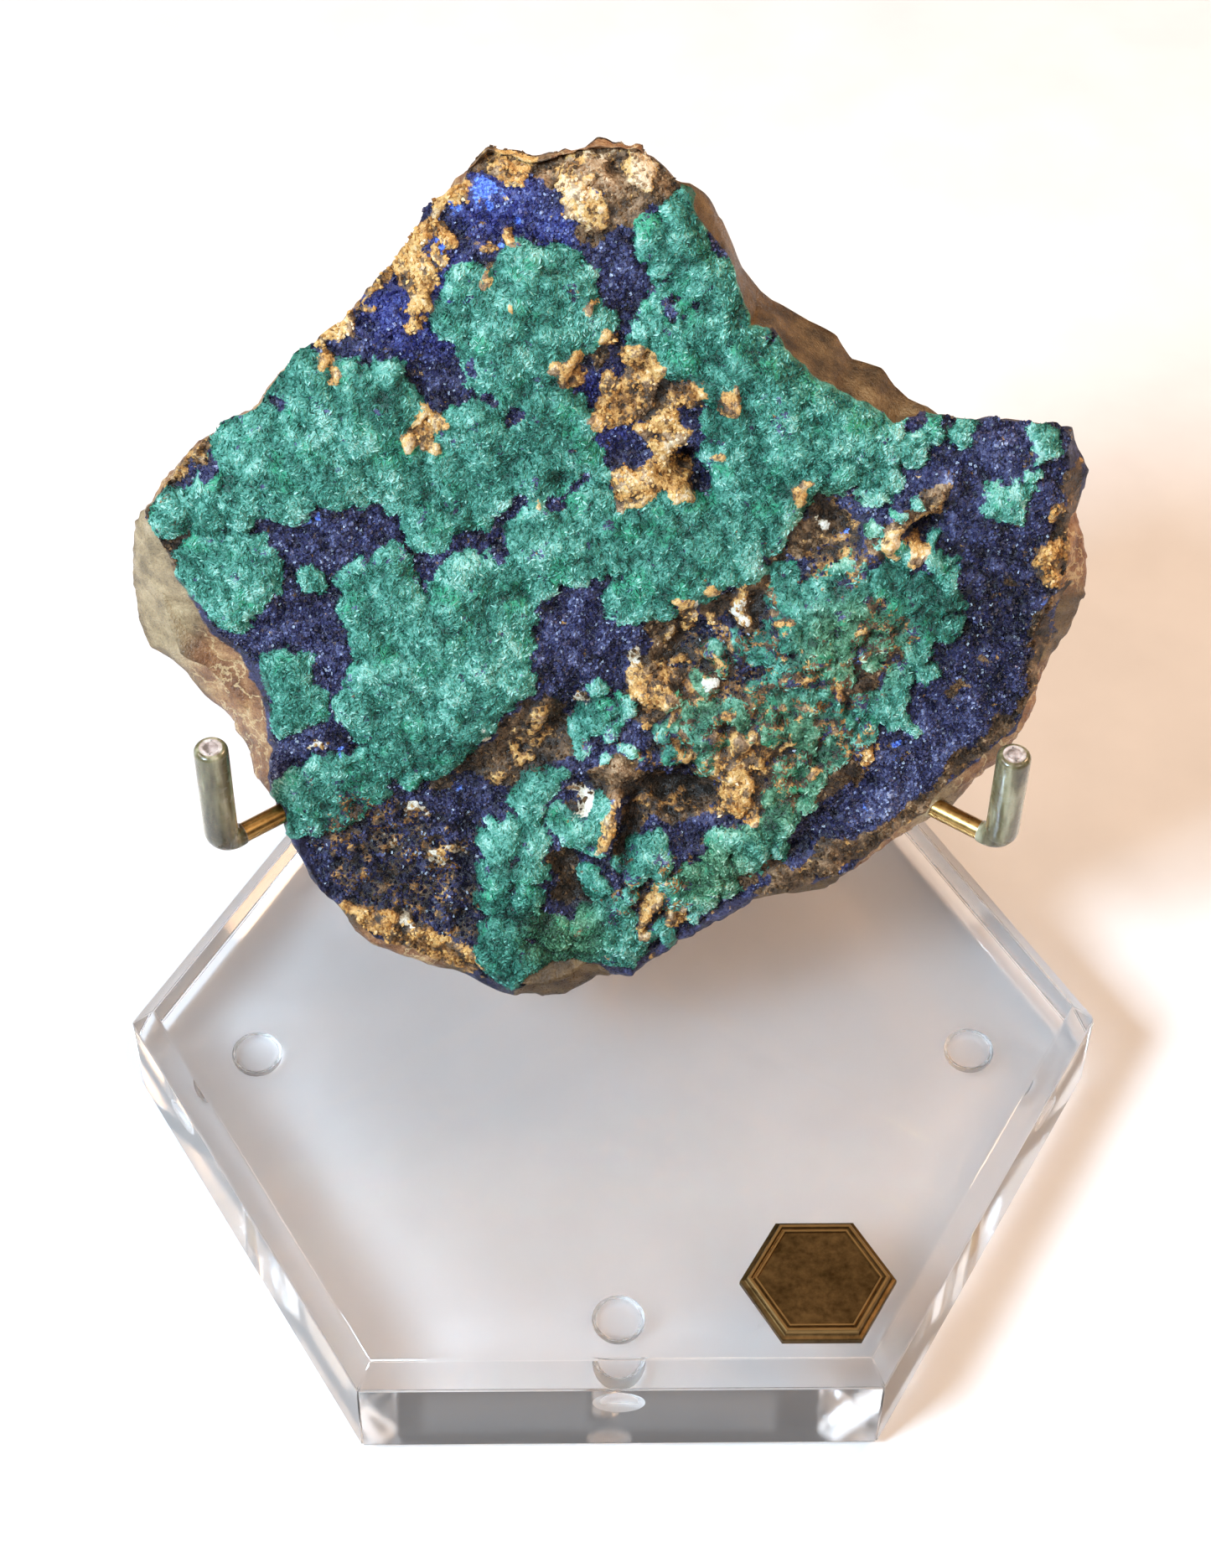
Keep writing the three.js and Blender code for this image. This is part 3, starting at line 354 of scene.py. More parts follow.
# Ochre and brown matrix, cream crumbs and bright blue spots, and the gaps above: each is a disc
# (x, y, radius) or a stroke (x, y, x, y, radius)
OCHRE = [
    (-41, 25, -24, 43, 1.3), (-60, 9, -65, 2, 1.4), (-5, 42.5, 3), (-6, 47, 3), (-15, 48, 3),
    (-22, 44, 2), (-24.5, 38.5, 1.8), (-19, 36.8, 1.2), (-15, 38.5, 1.2), (-28, 32, 2.5),
    (-29, 34, 2), (-27.5, 28.5, 2), (-26, 35.5, 1.5), (-29, 26, 1.2), (-38, 26, 1.5), (-36, 28, 1),
    (-40.5, 22, 1.5), (-39, 19.5, 1), (-29.5, 10.5, 2.2), (-27, 12, 2.5), (-25.5, 9, 1.5),
    (-14.5, 29, 0.8), (-5, 29, 1.2), (-18, 33.5, 0.7), (-12.5, 0.3, 1), (-2, 23.5, 1.8),
    (1.5, 20.5, 1.5), (3, 18, 3), (0, 15, 3.5), (-3, 13, 2), (-7.5, 19, 2.2), (9, 16, 2),
    (7, 13, 2), (5, 11.5, 2), (8.5, 10.5, 2), (6.5, 7.5, 2), (2, 3, 3.2), (4.5, 4.5, 2),
    (9, 3, 2.5), (7, 4.5, 2), (15, 15, 1.6), (16, 16.2, 1.2), (13.5, 6.5, 1.3), (25.5, 1.5, 1.6),
    (10, -17.5, 2.2), (5, -28, 3.5), (17, -39, 18, -47, 2.6), (21, -41, 1.6), (43, -8, 2.2),
    (37.5, -40, 1.5), (5, -62, 3.5, -69, 1.1), (8.5, -66, 1.5), (63, -8, 2.5), (62, -11, 2),
    (62, -1, 1.5), (-11, -32, 1.8), (-12.5, -36, 2), (-17.5, -43, 1.6), (2, -47, 10, -46.6, 0.8),
    (-40, -66, -24, -74, 3), (-33, -71, 3), (18.5, -16, 1.6), (15, -19, 1.3),
    (-0.6, -45.5, -1.8, -54, 0.9), (1, 48.3, 3, 47.2, 1.8), (7.5, -21.5, 1.2), (14, -13.5, 0.9),
    (9.5, -24.5, 1.1), (15.5, -21.5, 0.9), (20, -36, 0.9), (24, -30, 0.8), (16, -33, 0.8),
    (13, -36, 0.9), (26, -38, 0.9), (21, -27, 0.8), (28, -26, 0.7), (33, -30, 0.8), (35, -20, 0.8),
    (24.3, -17.5, 0.9), (-11, -33, 1.3), (-14.5, -39.5, 1.4), (38, -6.4, 45.5, 0.4, 0.9),
    (4.5, -34, 1), (8, -33.5, 0.9), (11.5, -39, 1), (30, -43, 1),
]
BROWN = [
    (-20, 50, 9, 46.5, 3.4), (5, 45.5, 3), (1, 44, 3.5), (-66, 6, -63, -9, 2.6),
    (-58, 11, -64, 4, 1.8), (29, 1, 1.5), (30, -3, 3), (27, -5, 3), (22, -7.5, 2), (20, -12, 2.5),
    (19.5, -16, 2.5), (15, -17, 2.5), (7, -21, 3.5), (5, -26, 3), (4, -31, 3), (8, -29, 2),
    (-11, -32, 3.5), (-13, -36, 4), (-10, -37, 4), (-17, -41, 4), (-22, -40, 3), (-25, -44, 2),
    (-13, -42, 3), (36.5, -7, 46.5, 2, 1.6), (-3, -43, 2.5), (0, -42, 3), (5, -44, 3),
    (-8, -48.5, 1.8), (-7.5, -57, 3), (-6, -61, 3.5), (-7, -54, 2), (-6, -68, 1.2),
    (5, -46, 12, -46, 3), (2.4, -48, 1, -56, 1.5), (30, -44, 3), (33, -42, 3), (27, -47, 2),
    (36, -28, 3), (22, -57, 2), (24, -59, 2), (19, -60, 1.5), (25, -61, 38, -54, 2.2),
    (-3, 20.5, 1.6), (5, 16, 3), (-4, 41, 3), (64.5, 4, 64, -14, 1.5), (63.5, -14, 60.5, -30, 1.2),
    (60.5, -30, 46, -48, 1.1), (46, -48, 24, -62, 2), (48, -19, 1.4), (50, -30, 1), (54, -24, 0.8),
    (56, -12, 0.9),
]
CREAM = [
    (-6.5, -48, -6.2, -45, 0.8), (-27, -57.5, 1.8), (-24, -55, 1), (-31.5, -67.5, 1.4),
    (-30, -48, 1.2), (-33, -55, 1), (-45, -38, -43, -37.6, 0.6), (12, -16, 0.9), (18.5, -16.5, 1.2),
    (13, -28.5, 1.1), (28, -3.5, 1.1), (2, -25, 1.3), (-5.5, -32, 0.8), (-19, -36, 0.9),
]
BRIGHT = [
    (-18.5, 44.3, 1.8), (-16.8, 37, 1.4), (-26, 37.3, 1.2), (-21.5, 42, 1.3), (-25, 33, 1),
    (-14, 40.5, 0.8), (32.3, -5, 1), (36, -48, 0.8), (41.5, -38.5, 1.1), (42, -41, 0.6),
    (61.5, -14.5, 1), (9, -53.5, 0.8), (-22.5, -46.5, 1), (-42.7, -1.5, 1.3), (-45, -2.5, 0.8),
    (34, -24.5, 0.9), (49.8, -8.5, 0.8), (-41, -38, 1),
]
# Where the crust is speckled with matrix: x, y, radius
MOTTLED = [
    (-34, -57, 12), (-28, -64, 9), (-39, -51, 7), (14, -30, 11), (27, -30, 11), (11, -40, 9),
    (22, -42, 8), (38, -20, 7), (31, -9, 6), (20, -19, 6), (33, -38, 7), (5, -62, 7),
]
# Broad swellings and hollows: x, y, radius, height
SWELLS = [
    (-34, -56, 15, -2.4), (52, -22, 16, -1.6), (-60, -8, 10, -0.8), (1, 15, 7, -1.1),
    (9.3, 5.8, 2.8, -4.6), (11.8, 2.4, 1.8, -2.6), (2, 3, 3.4, 1.7), (8.2, 2.6, 2.4, 1.7),
    (7.5, -45, 5, -3.6), (12.5, -46, 3.6, -2.8), (-7.5, -57, 3.2, -2.6), (-6, -62, 3.2, -2.6),
    (-11, -32.5, 3.6, 1.6), (-16.5, -42, 2.8, 1.5), (-0.5, 47.2, 1.4, -2), (-16, 28, 11, 1),
    (-40, 8, 13, 1.4), (-25, -26, 13, 1.5), (20, 15, 11, 1.2), (8, -8, 9, 1), (29, -17, 11, 1.1),
    (-15, -58, 6, 1.8), (-16, -71, 6, 2.2), (-1, -68, 6, 1.6), (19, -53, 7, 1.8), (5, -57, 4, 1.2),
    (30, -1, 3.4, -1.7), (44, -3.5, 2.6, -1.8), (18, -42, 5, 1),
]
# Ridges and grooves: both ends, width, height
RIDGES = [
    (-22, -45, -8, -33, 4.5, -2), (-7, -31, 9, -22, 4.5, -1.8), (9, -22, 24, -11, 4, -1.6),
    (24, -10, 32, -4, 3.5, -1.2), (34.5, -7.5, 46, 3, 2.4, 2), (40, -6.5, 48, -12, 2, 1.1),
    (-6, -41, 6, -41.5, 2, 1.4), (-0.6, -45.5, -1.8, -54, 1.3, 1.7), (2.2, -47, 1, -56, 1.8, -1.9),
    (6, -48.5, 13, -49.5, 1.6, 1.2), (-4, -43, -9, -49.5, 2, -1.2), (26, -49, 36, -39, 2.4, 1.2),
    (27, -54, 38, -43, 2.4, -1.1), (18, -60, 27, -54, 2.2, -1), (-22, -50, -23, -66, 2.5, -1.6),
]
# Where the face as a whole is painted lighter or darker: x, y, radius, change of tone. This is
# partly the minerals' own tone and partly painted sheen and shade.
SHADES = [
    (-16, -70, 12, -0.2), (-8, -62, 14, -0.07), (-36, -58, 13, -0.21), (56, -16, 14, -0.2),
    (-36, 12, 13, 0.05), (-14, 28, 9, -0.02), (24, 14, 9, 0.04), (12, -4, 8, -0.06),
    (18, -36, 16, -0.14), (-20, -40, 8, -0.14), (-28, -24, 12, 0.03), (-48, -10, 8, -0.02),
    (6, -46, 6, -0.2), (-30, 16, 5, -0.08), (-44, 4, 4, -0.1), (19, 22, 5, -0.14),
    (10, 30, 4, -0.14), (26, 5, 5, -0.14), (-6, -9, 5, -0.08), (-4, 47, 9, 0.2), (2, 48, 2.5, 0.12),
    (-38, 28, 5, 0.12), (-30, 37, 5, 0.12), (-62, 6, 5, 0.08), (34, 12, 4, 0.06),
    (14, 12, 4, -0.12),
]
# Where azurite is a bright ultramarine, and where malachite turns yellowish: x, y, radius
ROYAL = [(-17, 43, 7), (-28, 30, 10), (-2, 14, 6), (-30, 12, 4), (-9, 39, 3.5)]
YELLOWISH = [(22, -40, 13), (10, -28, 8), (34, -22, 9), (14, -58, 7), (-8, -68, 7), (30, -4, 7)]
# Bare broken rock outside the face's rim: x, y, radius
BARE_FLANK = [
    (-70, -14, 14), (-62, -26, 8), (-57, -34, 6.5), (-55, -42, 5), (28, 26, 14), (16, 38, 7),
    (38, 17, 6), (68, -8, 5), (69, -18, 5), (67, -27, 5), (64, -35, 5), (59, -42, 5), (-4, 52, 6),
    (4, 51, 5), (52, -48, 6), (44, -55, 5), (36, -60, 6), (26, -65, 5), (-8, -80, 7), (-32, -76, 8),
    (-40, -72, 6), (-66, 4, 4), (-24, 46, 4), (-32, 37, 5), (-42, 26, 5), (-52, 16, 5),
]
# Smooth, pale and rusty stretches of the broken flank: x, y, radius
SMOOTH_FLANK = [(30, 22, 13), (18, 34, 8)]
PALE_FLANK = [(-71, -16, 9), (-70, -8, 6), (-66, -24, 6), (-64, -29, 4), (54, -47, 6), (48, -52, 5)]
RUSTY_FLANK = [
    (-56, -27, 7), (-55, -36, 6), (-52, -45, 5), (-62, 3, 6), (66, -8, 6), (40, -56, 5),
    (-36, 32, 11), (-50, 18, 9), (-22, 46, 7), (-4, 52, 8), (62, -34, 7), (54, -44, 4),
    (-34, -74, 7),
]


# Repeatable noise, made of values on a lattice. Each use of it has a layer number of its own,
# which only keeps its pattern apart from the others.
def lattice_value(i, j, k):
    """A value from -1 to 1 for each corner of the lattice."""
    bits = np.zeros(np.broadcast(i, j, k).shape, np.uint64)
    for axis, factor in zip((i, j, k), LATTICE_FACTORS):
        whole = np.asarray(axis).astype(np.int64).astype(np.uint64)
        bits = bits ^ ((whole * np.uint64(factor)) & LOW_BITS)
    bits = bits ^ (bits >> np.uint64(13))
    bits = (bits * LATTICE_STIR) & LOW_BITS
    bits = bits ^ (bits >> np.uint64(16))
    return bits.astype(float) / 2**31 - 1


def lumps(x, y, z):
    """Smooth noise from -1 to 1, in lumps about one unit apart."""
    x, y, z = np.broadcast_arrays(*(np.asarray(axis, float) for axis in (x, y, z)))
    corner = [np.floor(axis) for axis in (x, y, z)]
    share = [axis - low for axis, low in zip((x, y, z), corner)]
    u, v, w = (f * f * (3 - 2 * f) for f in share)
    i, j, k = corner
    total = 0
    for di, across in ((0, 1 - u), (1, u)):
        for dj, up in ((0, 1 - v), (1, v)):
            for dk, out in ((0, 1 - w), (1, w)):
                total = total + across * up * out * lattice_value(i + di, j + dj, k + dk)
    return total


def ripples(x, y, size, layer):
    """The same noise over the face's plane, in lumps of one size."""
    return lumps(x / size, y / size, layer)


def bubbles(x, y, size, layer):
    """Round knobs about one size apart: 1 on the top of each and 0 in the creases between."""
    x, y = x / size, y / size
    nearest = np.full(x.shape, FAR_OFF)
    for di in (-1, 0, 1):
        for dj in (-1, 0, 1):
            i, j = np.floor(x) + di, np.floor(y) + dj
            px = i + 0.5 + BUBBLE_JITTER * lattice_value(i, j, np.full_like(i, layer))
            py = j + 0.5 + BUBBLE_JITTER * lattice_value(i, j, np.full_like(i, layer + 1))
            nearest = np.minimum(nearest, np.hypot(x - px, y - py))
    return np.clip(1 - nearest**2, 0, 1)


def smoothstep(value, low, high):
    """0 below the low value, 1 above the high one, and an even rise between them."""
    share = np.clip((value - low) / (high - low), 0, 1)
    return share * share * (3 - 2 * share)


def distance_to_stroke(x, y, ax, ay, bx, by):
    """The distance of each place from a straight stroke between two points."""
    long = (bx - ax) ** 2 + (by - ay) ** 2
    share = np.clip(((x - ax) * (bx - ax) + (y - ay) * (by - ay)) / long, 0, 1)
    return np.hypot(x - ax - share * (bx - ax), y - ay - share * (by - ay))


def inside(x, y, blobs):
    """How far each place is inside the nearest blob's edge, less than 0 outside them all."""
    depth = np.full(np.shape(x), -FAR_OFF)
    for blob in blobs:
        if len(blob) == 3:
            far = np.hypot(x - blob[0], y - blob[1])
        else:
            far = distance_to_stroke(x, y, *blob[:4])
        depth = np.maximum(depth, blob[-1] - far)
    return depth


# The specimen's face
def warped(x, y, layer, pushes):
    """Places pushed about by noise of three sizes, so that outlines come out ragged."""
    wx, wy = x, y
    for step, (push, size) in enumerate(zip(pushes, WARP_SIZES)):
        wx = wx + push * ripples(x, y, size, layer + 2 * step)
        wy = wy + push * ripples(x, y, size, layer + 2 * step + 1)
    return wx, wy


def crust(x, y):
    """The height of the malachite's lobes."""
    wx, wy = warped(x, y, 11, (1.2, 0.5, 0))
    height = np.zeros_like(x)
    for lobe_x, lobe_y, radius in LOBES + SMALL_LOBES:
        far = np.hypot(wx - lobe_x, wy - lobe_y) / radius
        height = np.maximum(height, (0.55 + 0.15 * radius) * (1 - np.minimum(far, 1) ** 3))
    return height


def minerals(x, y):
    """How far inside each mineral every place of the face is, in millimetres."""
    wx, wy = warped(x, y, 11, (1.2, 0.5, 0.6))
    nx, ny = warped(x, y, 81, (1.3, 0.9, 0.5))
    grown = inside(wx, wy, LOBES + SMALL_LOBES)
    depths = {"malachite": np.minimum(grown, -inside(nx, ny, WINDOWS))}
    for name, blobs in (("ochre", OCHRE), ("brown", BROWN), ("cream", CREAM), ("bright", BRIGHT)):
        depths[name] = inside(nx, ny, blobs)
    mineral = {name: np.clip(depth, -DEEP_ENOUGH, DEEP_ENOUGH) for name, depth in depths.items()}
    for name, spots in (("mottled", MOTTLED), ("royal", ROYAL), ("yellowish", YELLOWISH)):
        mineral[name] = nearness(x, y, spots)
    return mineral


def nearness(x, y, spots):
    """1 in the middle of the spots and 0 well outside them."""
    near = np.zeros_like(x)
    for spot_x, spot_y, radius in spots:
        far = np.hypot(x - spot_x, y - spot_y)
        near = np.maximum(near, 1 - smoothstep(far, 0.5 * radius, 1.2 * radius))
    return near


def with_mounds(value, x, y, mounds):
    """A value over the face, raised or lowered by broad soft mounds of (x, y, radius, height)."""
    for mound_x, mound_y, radius, rise in mounds:
        far = (x - mound_x) ** 2 + (y - mound_y) ** 2
        value = value + rise * np.exp(-far / (0.8 * radius**2))
    return value


def tones(x, y, crest_shading, mineral):
    """How light each place is, about 0.5, before its finest grain. Hollows are painted darker and
    crests lighter, partly as the crust's own darker creases and partly as painted shade and
    highlight. The crust's edges are palest.
    """
    edge = np.exp(-(((mineral["malachite"] - 0.35) / 0.3) ** 2))
    tone = 0.5 + 0.13 * crest_shading + (0.1 + 0.1 * mineral["mottled"]) * edge - 0.05 * mineral["mottled"]
    tone = with_mounds(tone, x, y, SHADES)
    tone = tone + 0.08 * ripples(x, y, 8, 40) + 0.1 * ripples(x, y, 3.2, 41)
    return tone + 0.13 * ripples(x, y, 1.4, 42)


def relief(x, y, mineral):
    """The face's height over its plane: lobes, swells and ridges, then what each mineral adds."""
    height = with_mounds(crust(x, y), x, y, SWELLS)
    for *stroke, width, rise in RIDGES:
        far = distance_to_stroke(x, y, *stroke) / width
        height += rise * np.exp(-far * far)
    height += 0.9 * ripples(x, y, 14, 3) + 0.5 * ripples(x, y, 4, 4)
    grown = smoothstep(mineral["malachite"], -0.1, 0.5)
    wx, wy = warped(x, y, 91, (0.8, 0.4, 0))
    knobs = 0.55 * bubbles(wx, wy, 4.4, 30) + 0.48 * bubbles(wx, wy, 2.1, 20)
    knobs = knobs + 0.34 * bubbles(x, y, 1.05, 22) - 0.8
    height += grown * knobs * (1 - 0.3 * mineral["mottled"])
    height += (1 - grown) * (0.24 * ripples(x, y, 0.9, 24) + 0.35 * ripples(x, y, 2, 26))
    height += 0.6 * mineral["mottled"] * ripples(x, y, 1.6, 28)
    height += 0.6 * smoothstep(mineral["ochre"], -0.3, 0.8) * (0.6 + bubbles(wx, wy, 1.8, 34))
    height += 0.4 * smoothstep(mineral["cream"], -0.2, 0.6)
    return height - TOP_DROP * smoothstep(y, *TOP_DROP_FROM)


def arm_y(x):
    """How far back the two arms run, at each place across the rock."""
    share = 1 - np.abs(x / MM_PER_M - STAND_MIDDLE_X) / HOOK_REACH_X
    return MM_PER_M * (HOOK_Y + share * (POST_Y - HOOK_Y))


def thickness(x, y):
    """The depth of the back behind the face's plane, with grooves where the arms pass."""
    depth = np.full(np.shape(x), float(BODY_THICKNESS))
    for slope_x, slope_y, middle in FACETS:
        depth = np.minimum(depth, middle + slope_x * x + slope_y * y)
    far = np.hypot(x - REST_PLACE[0], y - REST_PLACE[1])
    rough = smoothstep(far, *REST_CLEAR)
    depth = depth + rough * (1.5 * ripples(x, y, 15, 7) + 0.8 * ripples(x, y, 6, 8))
    depth = depth + rough * (0.35 * ripples(x, y, 2.6, 9) - 0.2)
    clear = MM_PER_M * (ROD_RADIUS + GAP)
    face_y = MM_PER_M * FACE_PLANE[1] + y * math.sin(LEAN)
    face_z = MM_PER_M * FACE_PLANE[2] + y * math.cos(LEAN)
    above_arms = (face_z - MM_PER_M * ARM_Z - clear) / math.sin(LEAN)
    before_arms = (arm_y(x) - clear - face_y) / math.cos(LEAN)
    return np.minimum(depth, np.maximum(np.maximum(above_arms, before_arms), THINNEST))


def spaced(outline, steps):
    """Places at even steps along an outline."""
    outline = np.array(outline, float)
    lengths = np.concatenate([[0], np.cumsum(np.hypot(*np.diff(outline, axis=0).T))])
    targets = np.linspace(0, lengths[-1], steps + 1)
    return np.stack([np.interp(targets, lengths, outline[:, axis]) for axis in (0, 1)], 1)


def stretched(top_left, top_right, left_bottom, right_bottom):
    """A grid stretched between four edges that share their corners."""
    steps = len(top_left) - 1
    s = (np.arange(steps + 1) / steps)[:, None, None]
    t = (np.arange(steps + 1) / steps)[None, :, None]
    across = (1 - t) * top_left[:, None] + t * right_bottom[:, None]
    down = (1 - s) * top_right[None] + s * left_bottom[None]
    top = (1 - t) * top_left[0] + t * right_bottom[0]
    bottom = (1 - t) * top_left[-1] + t * right_bottom[-1]
    return across + down - (1 - s) * top - s * bottom


def rim_of(steps):
    """The rim of a grid as one loop of rows and columns."""
    up, down = np.arange(steps), np.arange(steps, 0, -1)
    low, high = np.zeros(steps, int), np.full(steps, steps)
    rows = np.concatenate([up, high, down, low])
    columns = np.concatenate([low, up, high, down])
    return rows, columns


def on_girdle(x, y):
    """The girdle's place and depth on the ray from its middle through a point of the face's rim."""
    middle_x, middle_y = GIRDLE_MIDDLE
    dx, dy = x - middle_x, y - middle_y
    for i, (ax, ay, a_depth) in enumerate(GIRDLE):
        bx, by, b_depth = GIRDLE[(i + 1) % len(GIRDLE)]
        cross = dx * (by - ay) - dy * (bx - ax)
        far = ((ax - middle_x) * (by - ay) - (ay - middle_y) * (bx - ax)) / cross
        along = ((ax - middle_x) * dy - (ay - middle_y) * dx) / cross
        if far > 0 and 0 <= along <= 1:
            depth = a_depth + along * (b_depth - a_depth)
            return middle_x + far * dx, middle_y + far * dy, depth
    raise ValueError("a point of the face's rim misses the girdle")


def to_world(points):
    """Points of the face plane's own frame, in millimetres, as metres in the part's frame."""
    x, y, out = np.asarray(points).T * MM
    up = FACE_PLANE[2] + y * math.cos(LEAN) + out * math.sin(LEAN)
    return np.stack([
        FACE_PLANE[0] + x,
        FACE_PLANE[1] + y * math.sin(LEAN) - out * math.cos(LEAN),
        np.minimum(up, TOP_LIMIT),
    ], 1)


def linked(name, data):
    """A new object of the scene, made from a mesh, a camera or a light."""
    made = bpy.data.objects.new(name, data)
    bpy.context.scene.collection.objects.link(made)
    return made


def mesh_piece(name, points, faces, material, smooth=False, attributes=None):
    """A new object of one mesh, with a value for each point in each of its attributes."""
    mesh = bpy.data.meshes.new(name)
    mesh.from_pydata(np.asarray(points).tolist(), [], [list(face) for face in faces])
    mesh.validate()
    mesh.update()
    if smooth:
        mesh.shade_smooth()
    else:
        mesh.shade_flat()
    for key, values in (attributes or {}).items():
        layer = mesh.attributes.new(key, "FLOAT", "POINT")
        layer.data.foreach_set("value", np.asarray(values, np.float32).ravel())
    mesh.materials.append(material)
    return linked(name, mesh)


def stand_in(piece, node):
    """Puts a piece in the place of a CAD node."""
    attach(piece, "root")
    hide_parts(node)


class Body:
    """The specimen's skin: a fine face, its broken flank and a coarser back, in one closed mesh."""

    def __init__(self):
        self.points = []
        self.flank = []
        self.faces = []

    def add(self, x, y, out, flank):
        """Adds points, with how far they belong to the flank, and gives their numbers."""
        first = sum(len(points) for points in self.points)
        self.points.append(np.stack([np.ravel(x), np.ravel(y), np.ravel(out)], 1))
        self.flank.append(np.full(np.size(x), float(flank)))
        return first + np.arange(np.size(x)).reshape(np.shape(x))

    def sheet(self, index, flip=False):
        """Fills a grid of points with faces."""
        a, b, c, d = index[:-1, :-1], index[1:, :-1], index[1:, 1:], index[:-1, 1:]
        corners = (a, d, c, b) if flip else (a, b, c, d)
        self.faces += np.stack([corner.ravel() for corner in corners], 1).tolist()

    def band(self, upper, lower):
        """Joins two loops of points, the lower one with as many points as the upper or half."""
        after_upper, after_lower = np.roll(upper, -1), np.roll(lower, -1)
        if len(upper) == len(lower):
            self.faces += np.stack([upper, lower, after_lower, after_upper], 1).tolist()
            return
        first, second, third = upper[0::2], upper[1::2], np.roll(upper[0::2], -1)
        triangles = (
            (first, lower, second),
            (second, lower, after_lower),
            (second, after_lower, third),
        )
        for triangle in triangles:
            self.faces += np.stack(triangle, 1).tolist()


def broken(place, share):
    """Places of the flank, pushed about as the rock is broken, in chips with sharp creases."""
    x, y, depth = place
    share = share * (1 - 0.8 * nearness(x, y, SMOOTH_FLANK))
    across = 0.5 * lumps(x / 5, y / 5, depth / 5)
    across = across + 1.3 * np.abs(lumps(x / 6, y / 6, depth / 5 + 40)) - 0.4
    up = 0.5 * lumps(y / 5, depth / 5, x / 5)
    up = up + 1.3 * np.abs(lumps(y / 6, depth / 5 + 50, x / 6)) - 0.4
    fine = 0.3 * np.abs(lumps(x / 1.8, y / 1.8, depth / 1.2))
    fine = fine + 0.15 * lumps(x / 0.8, y / 0.8, depth / 0.7) - 0.1
    return x + share * (across + fine), y + share * (up - fine), -depth


def face_grid():
    """The face's even grid, then its places with the rim made ragged and their height."""
    outlines = (TOP_TO_LEFT, TOP_TO_RIGHT, LEFT_TO_BOTTOM, RIGHT_TO_BOTTOM)
    grid = stretched(*(spaced(outline, FACE_STEPS) for outline in outlines))
    x, y = grid[..., 0], grid[..., 1]
    inset = inset_of(FACE_STEPS)
    ragged = 1 - smoothstep(inset, 0, RAGGED_WIDTH)
    x = x + ragged * (0.45 * ripples(x, y, 2.4, 60) + 0.25 * ripples(x, y, 1.1, 61))
    y = y + ragged * (0.45 * ripples(x, y, 2.4, 62) + 0.25 * ripples(x, y, 1.1, 63))
    height = relief(x, y, minerals(x, y)) - RIM_DROP * (1 - smoothstep(inset, 0, RIM_DROP_WIDTH))
    return grid, x, y, height


def inset_of(steps):
    """How far each place of a grid is from the grid's rim, in millimetres."""
    along = np.arange(steps + 1)
    in_from_edge = np.minimum(along, steps - along) / steps * FACE_SPAN
    return np.minimum(in_from_edge[:, None], in_from_edge[None])


def key_rings(grid, x, y, height):
    """Rings of x, y and depth that the flank runs through, from the face's rim to the back's."""
    rim = rim_of(FACE_STEPS)
    edge = np.array([x[rim], y[rim], -height[rim]])
    girdle = np.array([on_girdle(*place) for place in grid[rim]]).T
    out_x, out_y, out_depth = girdle
    back_x = out_x * BACK_RIM
    back_y = GIRDLE_MIDDLE[1] + (out_y - GIRDLE_MIDDLE[1]) * BACK_RIM
    back_depth = np.maximum(out_depth + 1, BACK_RIM_DEPTH * thickness(back_x, back_y))
    back_edge = np.array([back_x, back_y, back_depth])
    between = 0.45 * edge + 0.55 * girdle
    between[2] = out_depth * 0.5 + 0.4
    rounding = 0.6 * girdle + 0.4 * back_edge
    rounding[2] = 0.45 * out_depth + 0.55 * back_depth
    return edge, between, girdle, rounding, back_edge


def add_flank(body, ring, rings):
    """The broken flank, in bands. Behind the girdle each band has half as many points."""
    edge, between, girdle, rounding, back_edge = rings
    stretches = (
        (edge, between, 4, 1),
        (between, girdle, 4, 1),
        (girdle, rounding, 4, 2),
        (rounding, back_edge, 3, 2),
    )
    for start, end, cuts, every in stretches:
        last = cuts if end is back_edge else cuts + 1
        for cut in range(1, last):
            flank = cut / cuts if start is edge else 1
            share = 1 - cut / cuts if end is back_edge else flank
            place = (start + (end - start) * cut / cuts)[:, ::every]
            lower = body.add(*broken(place, share), flank)
            body.band(ring, lower)
            ring = lower
    return ring


def add_back(body, ring, back_edge):
    """The faceted back, a grid half as fine as the face's."""
    half = FACE_STEPS // 2
    back_rim = rim_of(half)
    number = {place: i for i, place in enumerate(zip(*(part.tolist() for part in back_rim)))}
    rim_places = back_edge[:2, ::2].T
    steps = range(half + 1)
    sides = (
        [(i, 0) for i in steps],
        [(0, i) for i in steps],
        [(half, i) for i in steps],
        [(i, half) for i in steps],
    )
    back_grid = stretched(*(rim_places[[number[place] for place in side]] for side in sides))
    x, y = back_grid[..., 0], back_grid[..., 1]
    depth = thickness(x, y)
    depth *= 0.8 + 0.2 * smoothstep(inset_of(half), 0, 12)
    depth[back_rim] = back_edge[2, ::2]
    back = body.add(x, y, -depth, 1)
    body.sheet(back, flip=True)
    body.band(ring, back[back_rim])


def specimen_skin(grid, x, y, height):
    body = Body()
    face = body.add(x, y, height, 0)
    body.sheet(face)
    rings = key_rings(grid, x, y, height)
    ring = add_flank(body, face[rim_of(FACE_STEPS)], rings)
    add_back(body, ring, rings[-1])
    return body


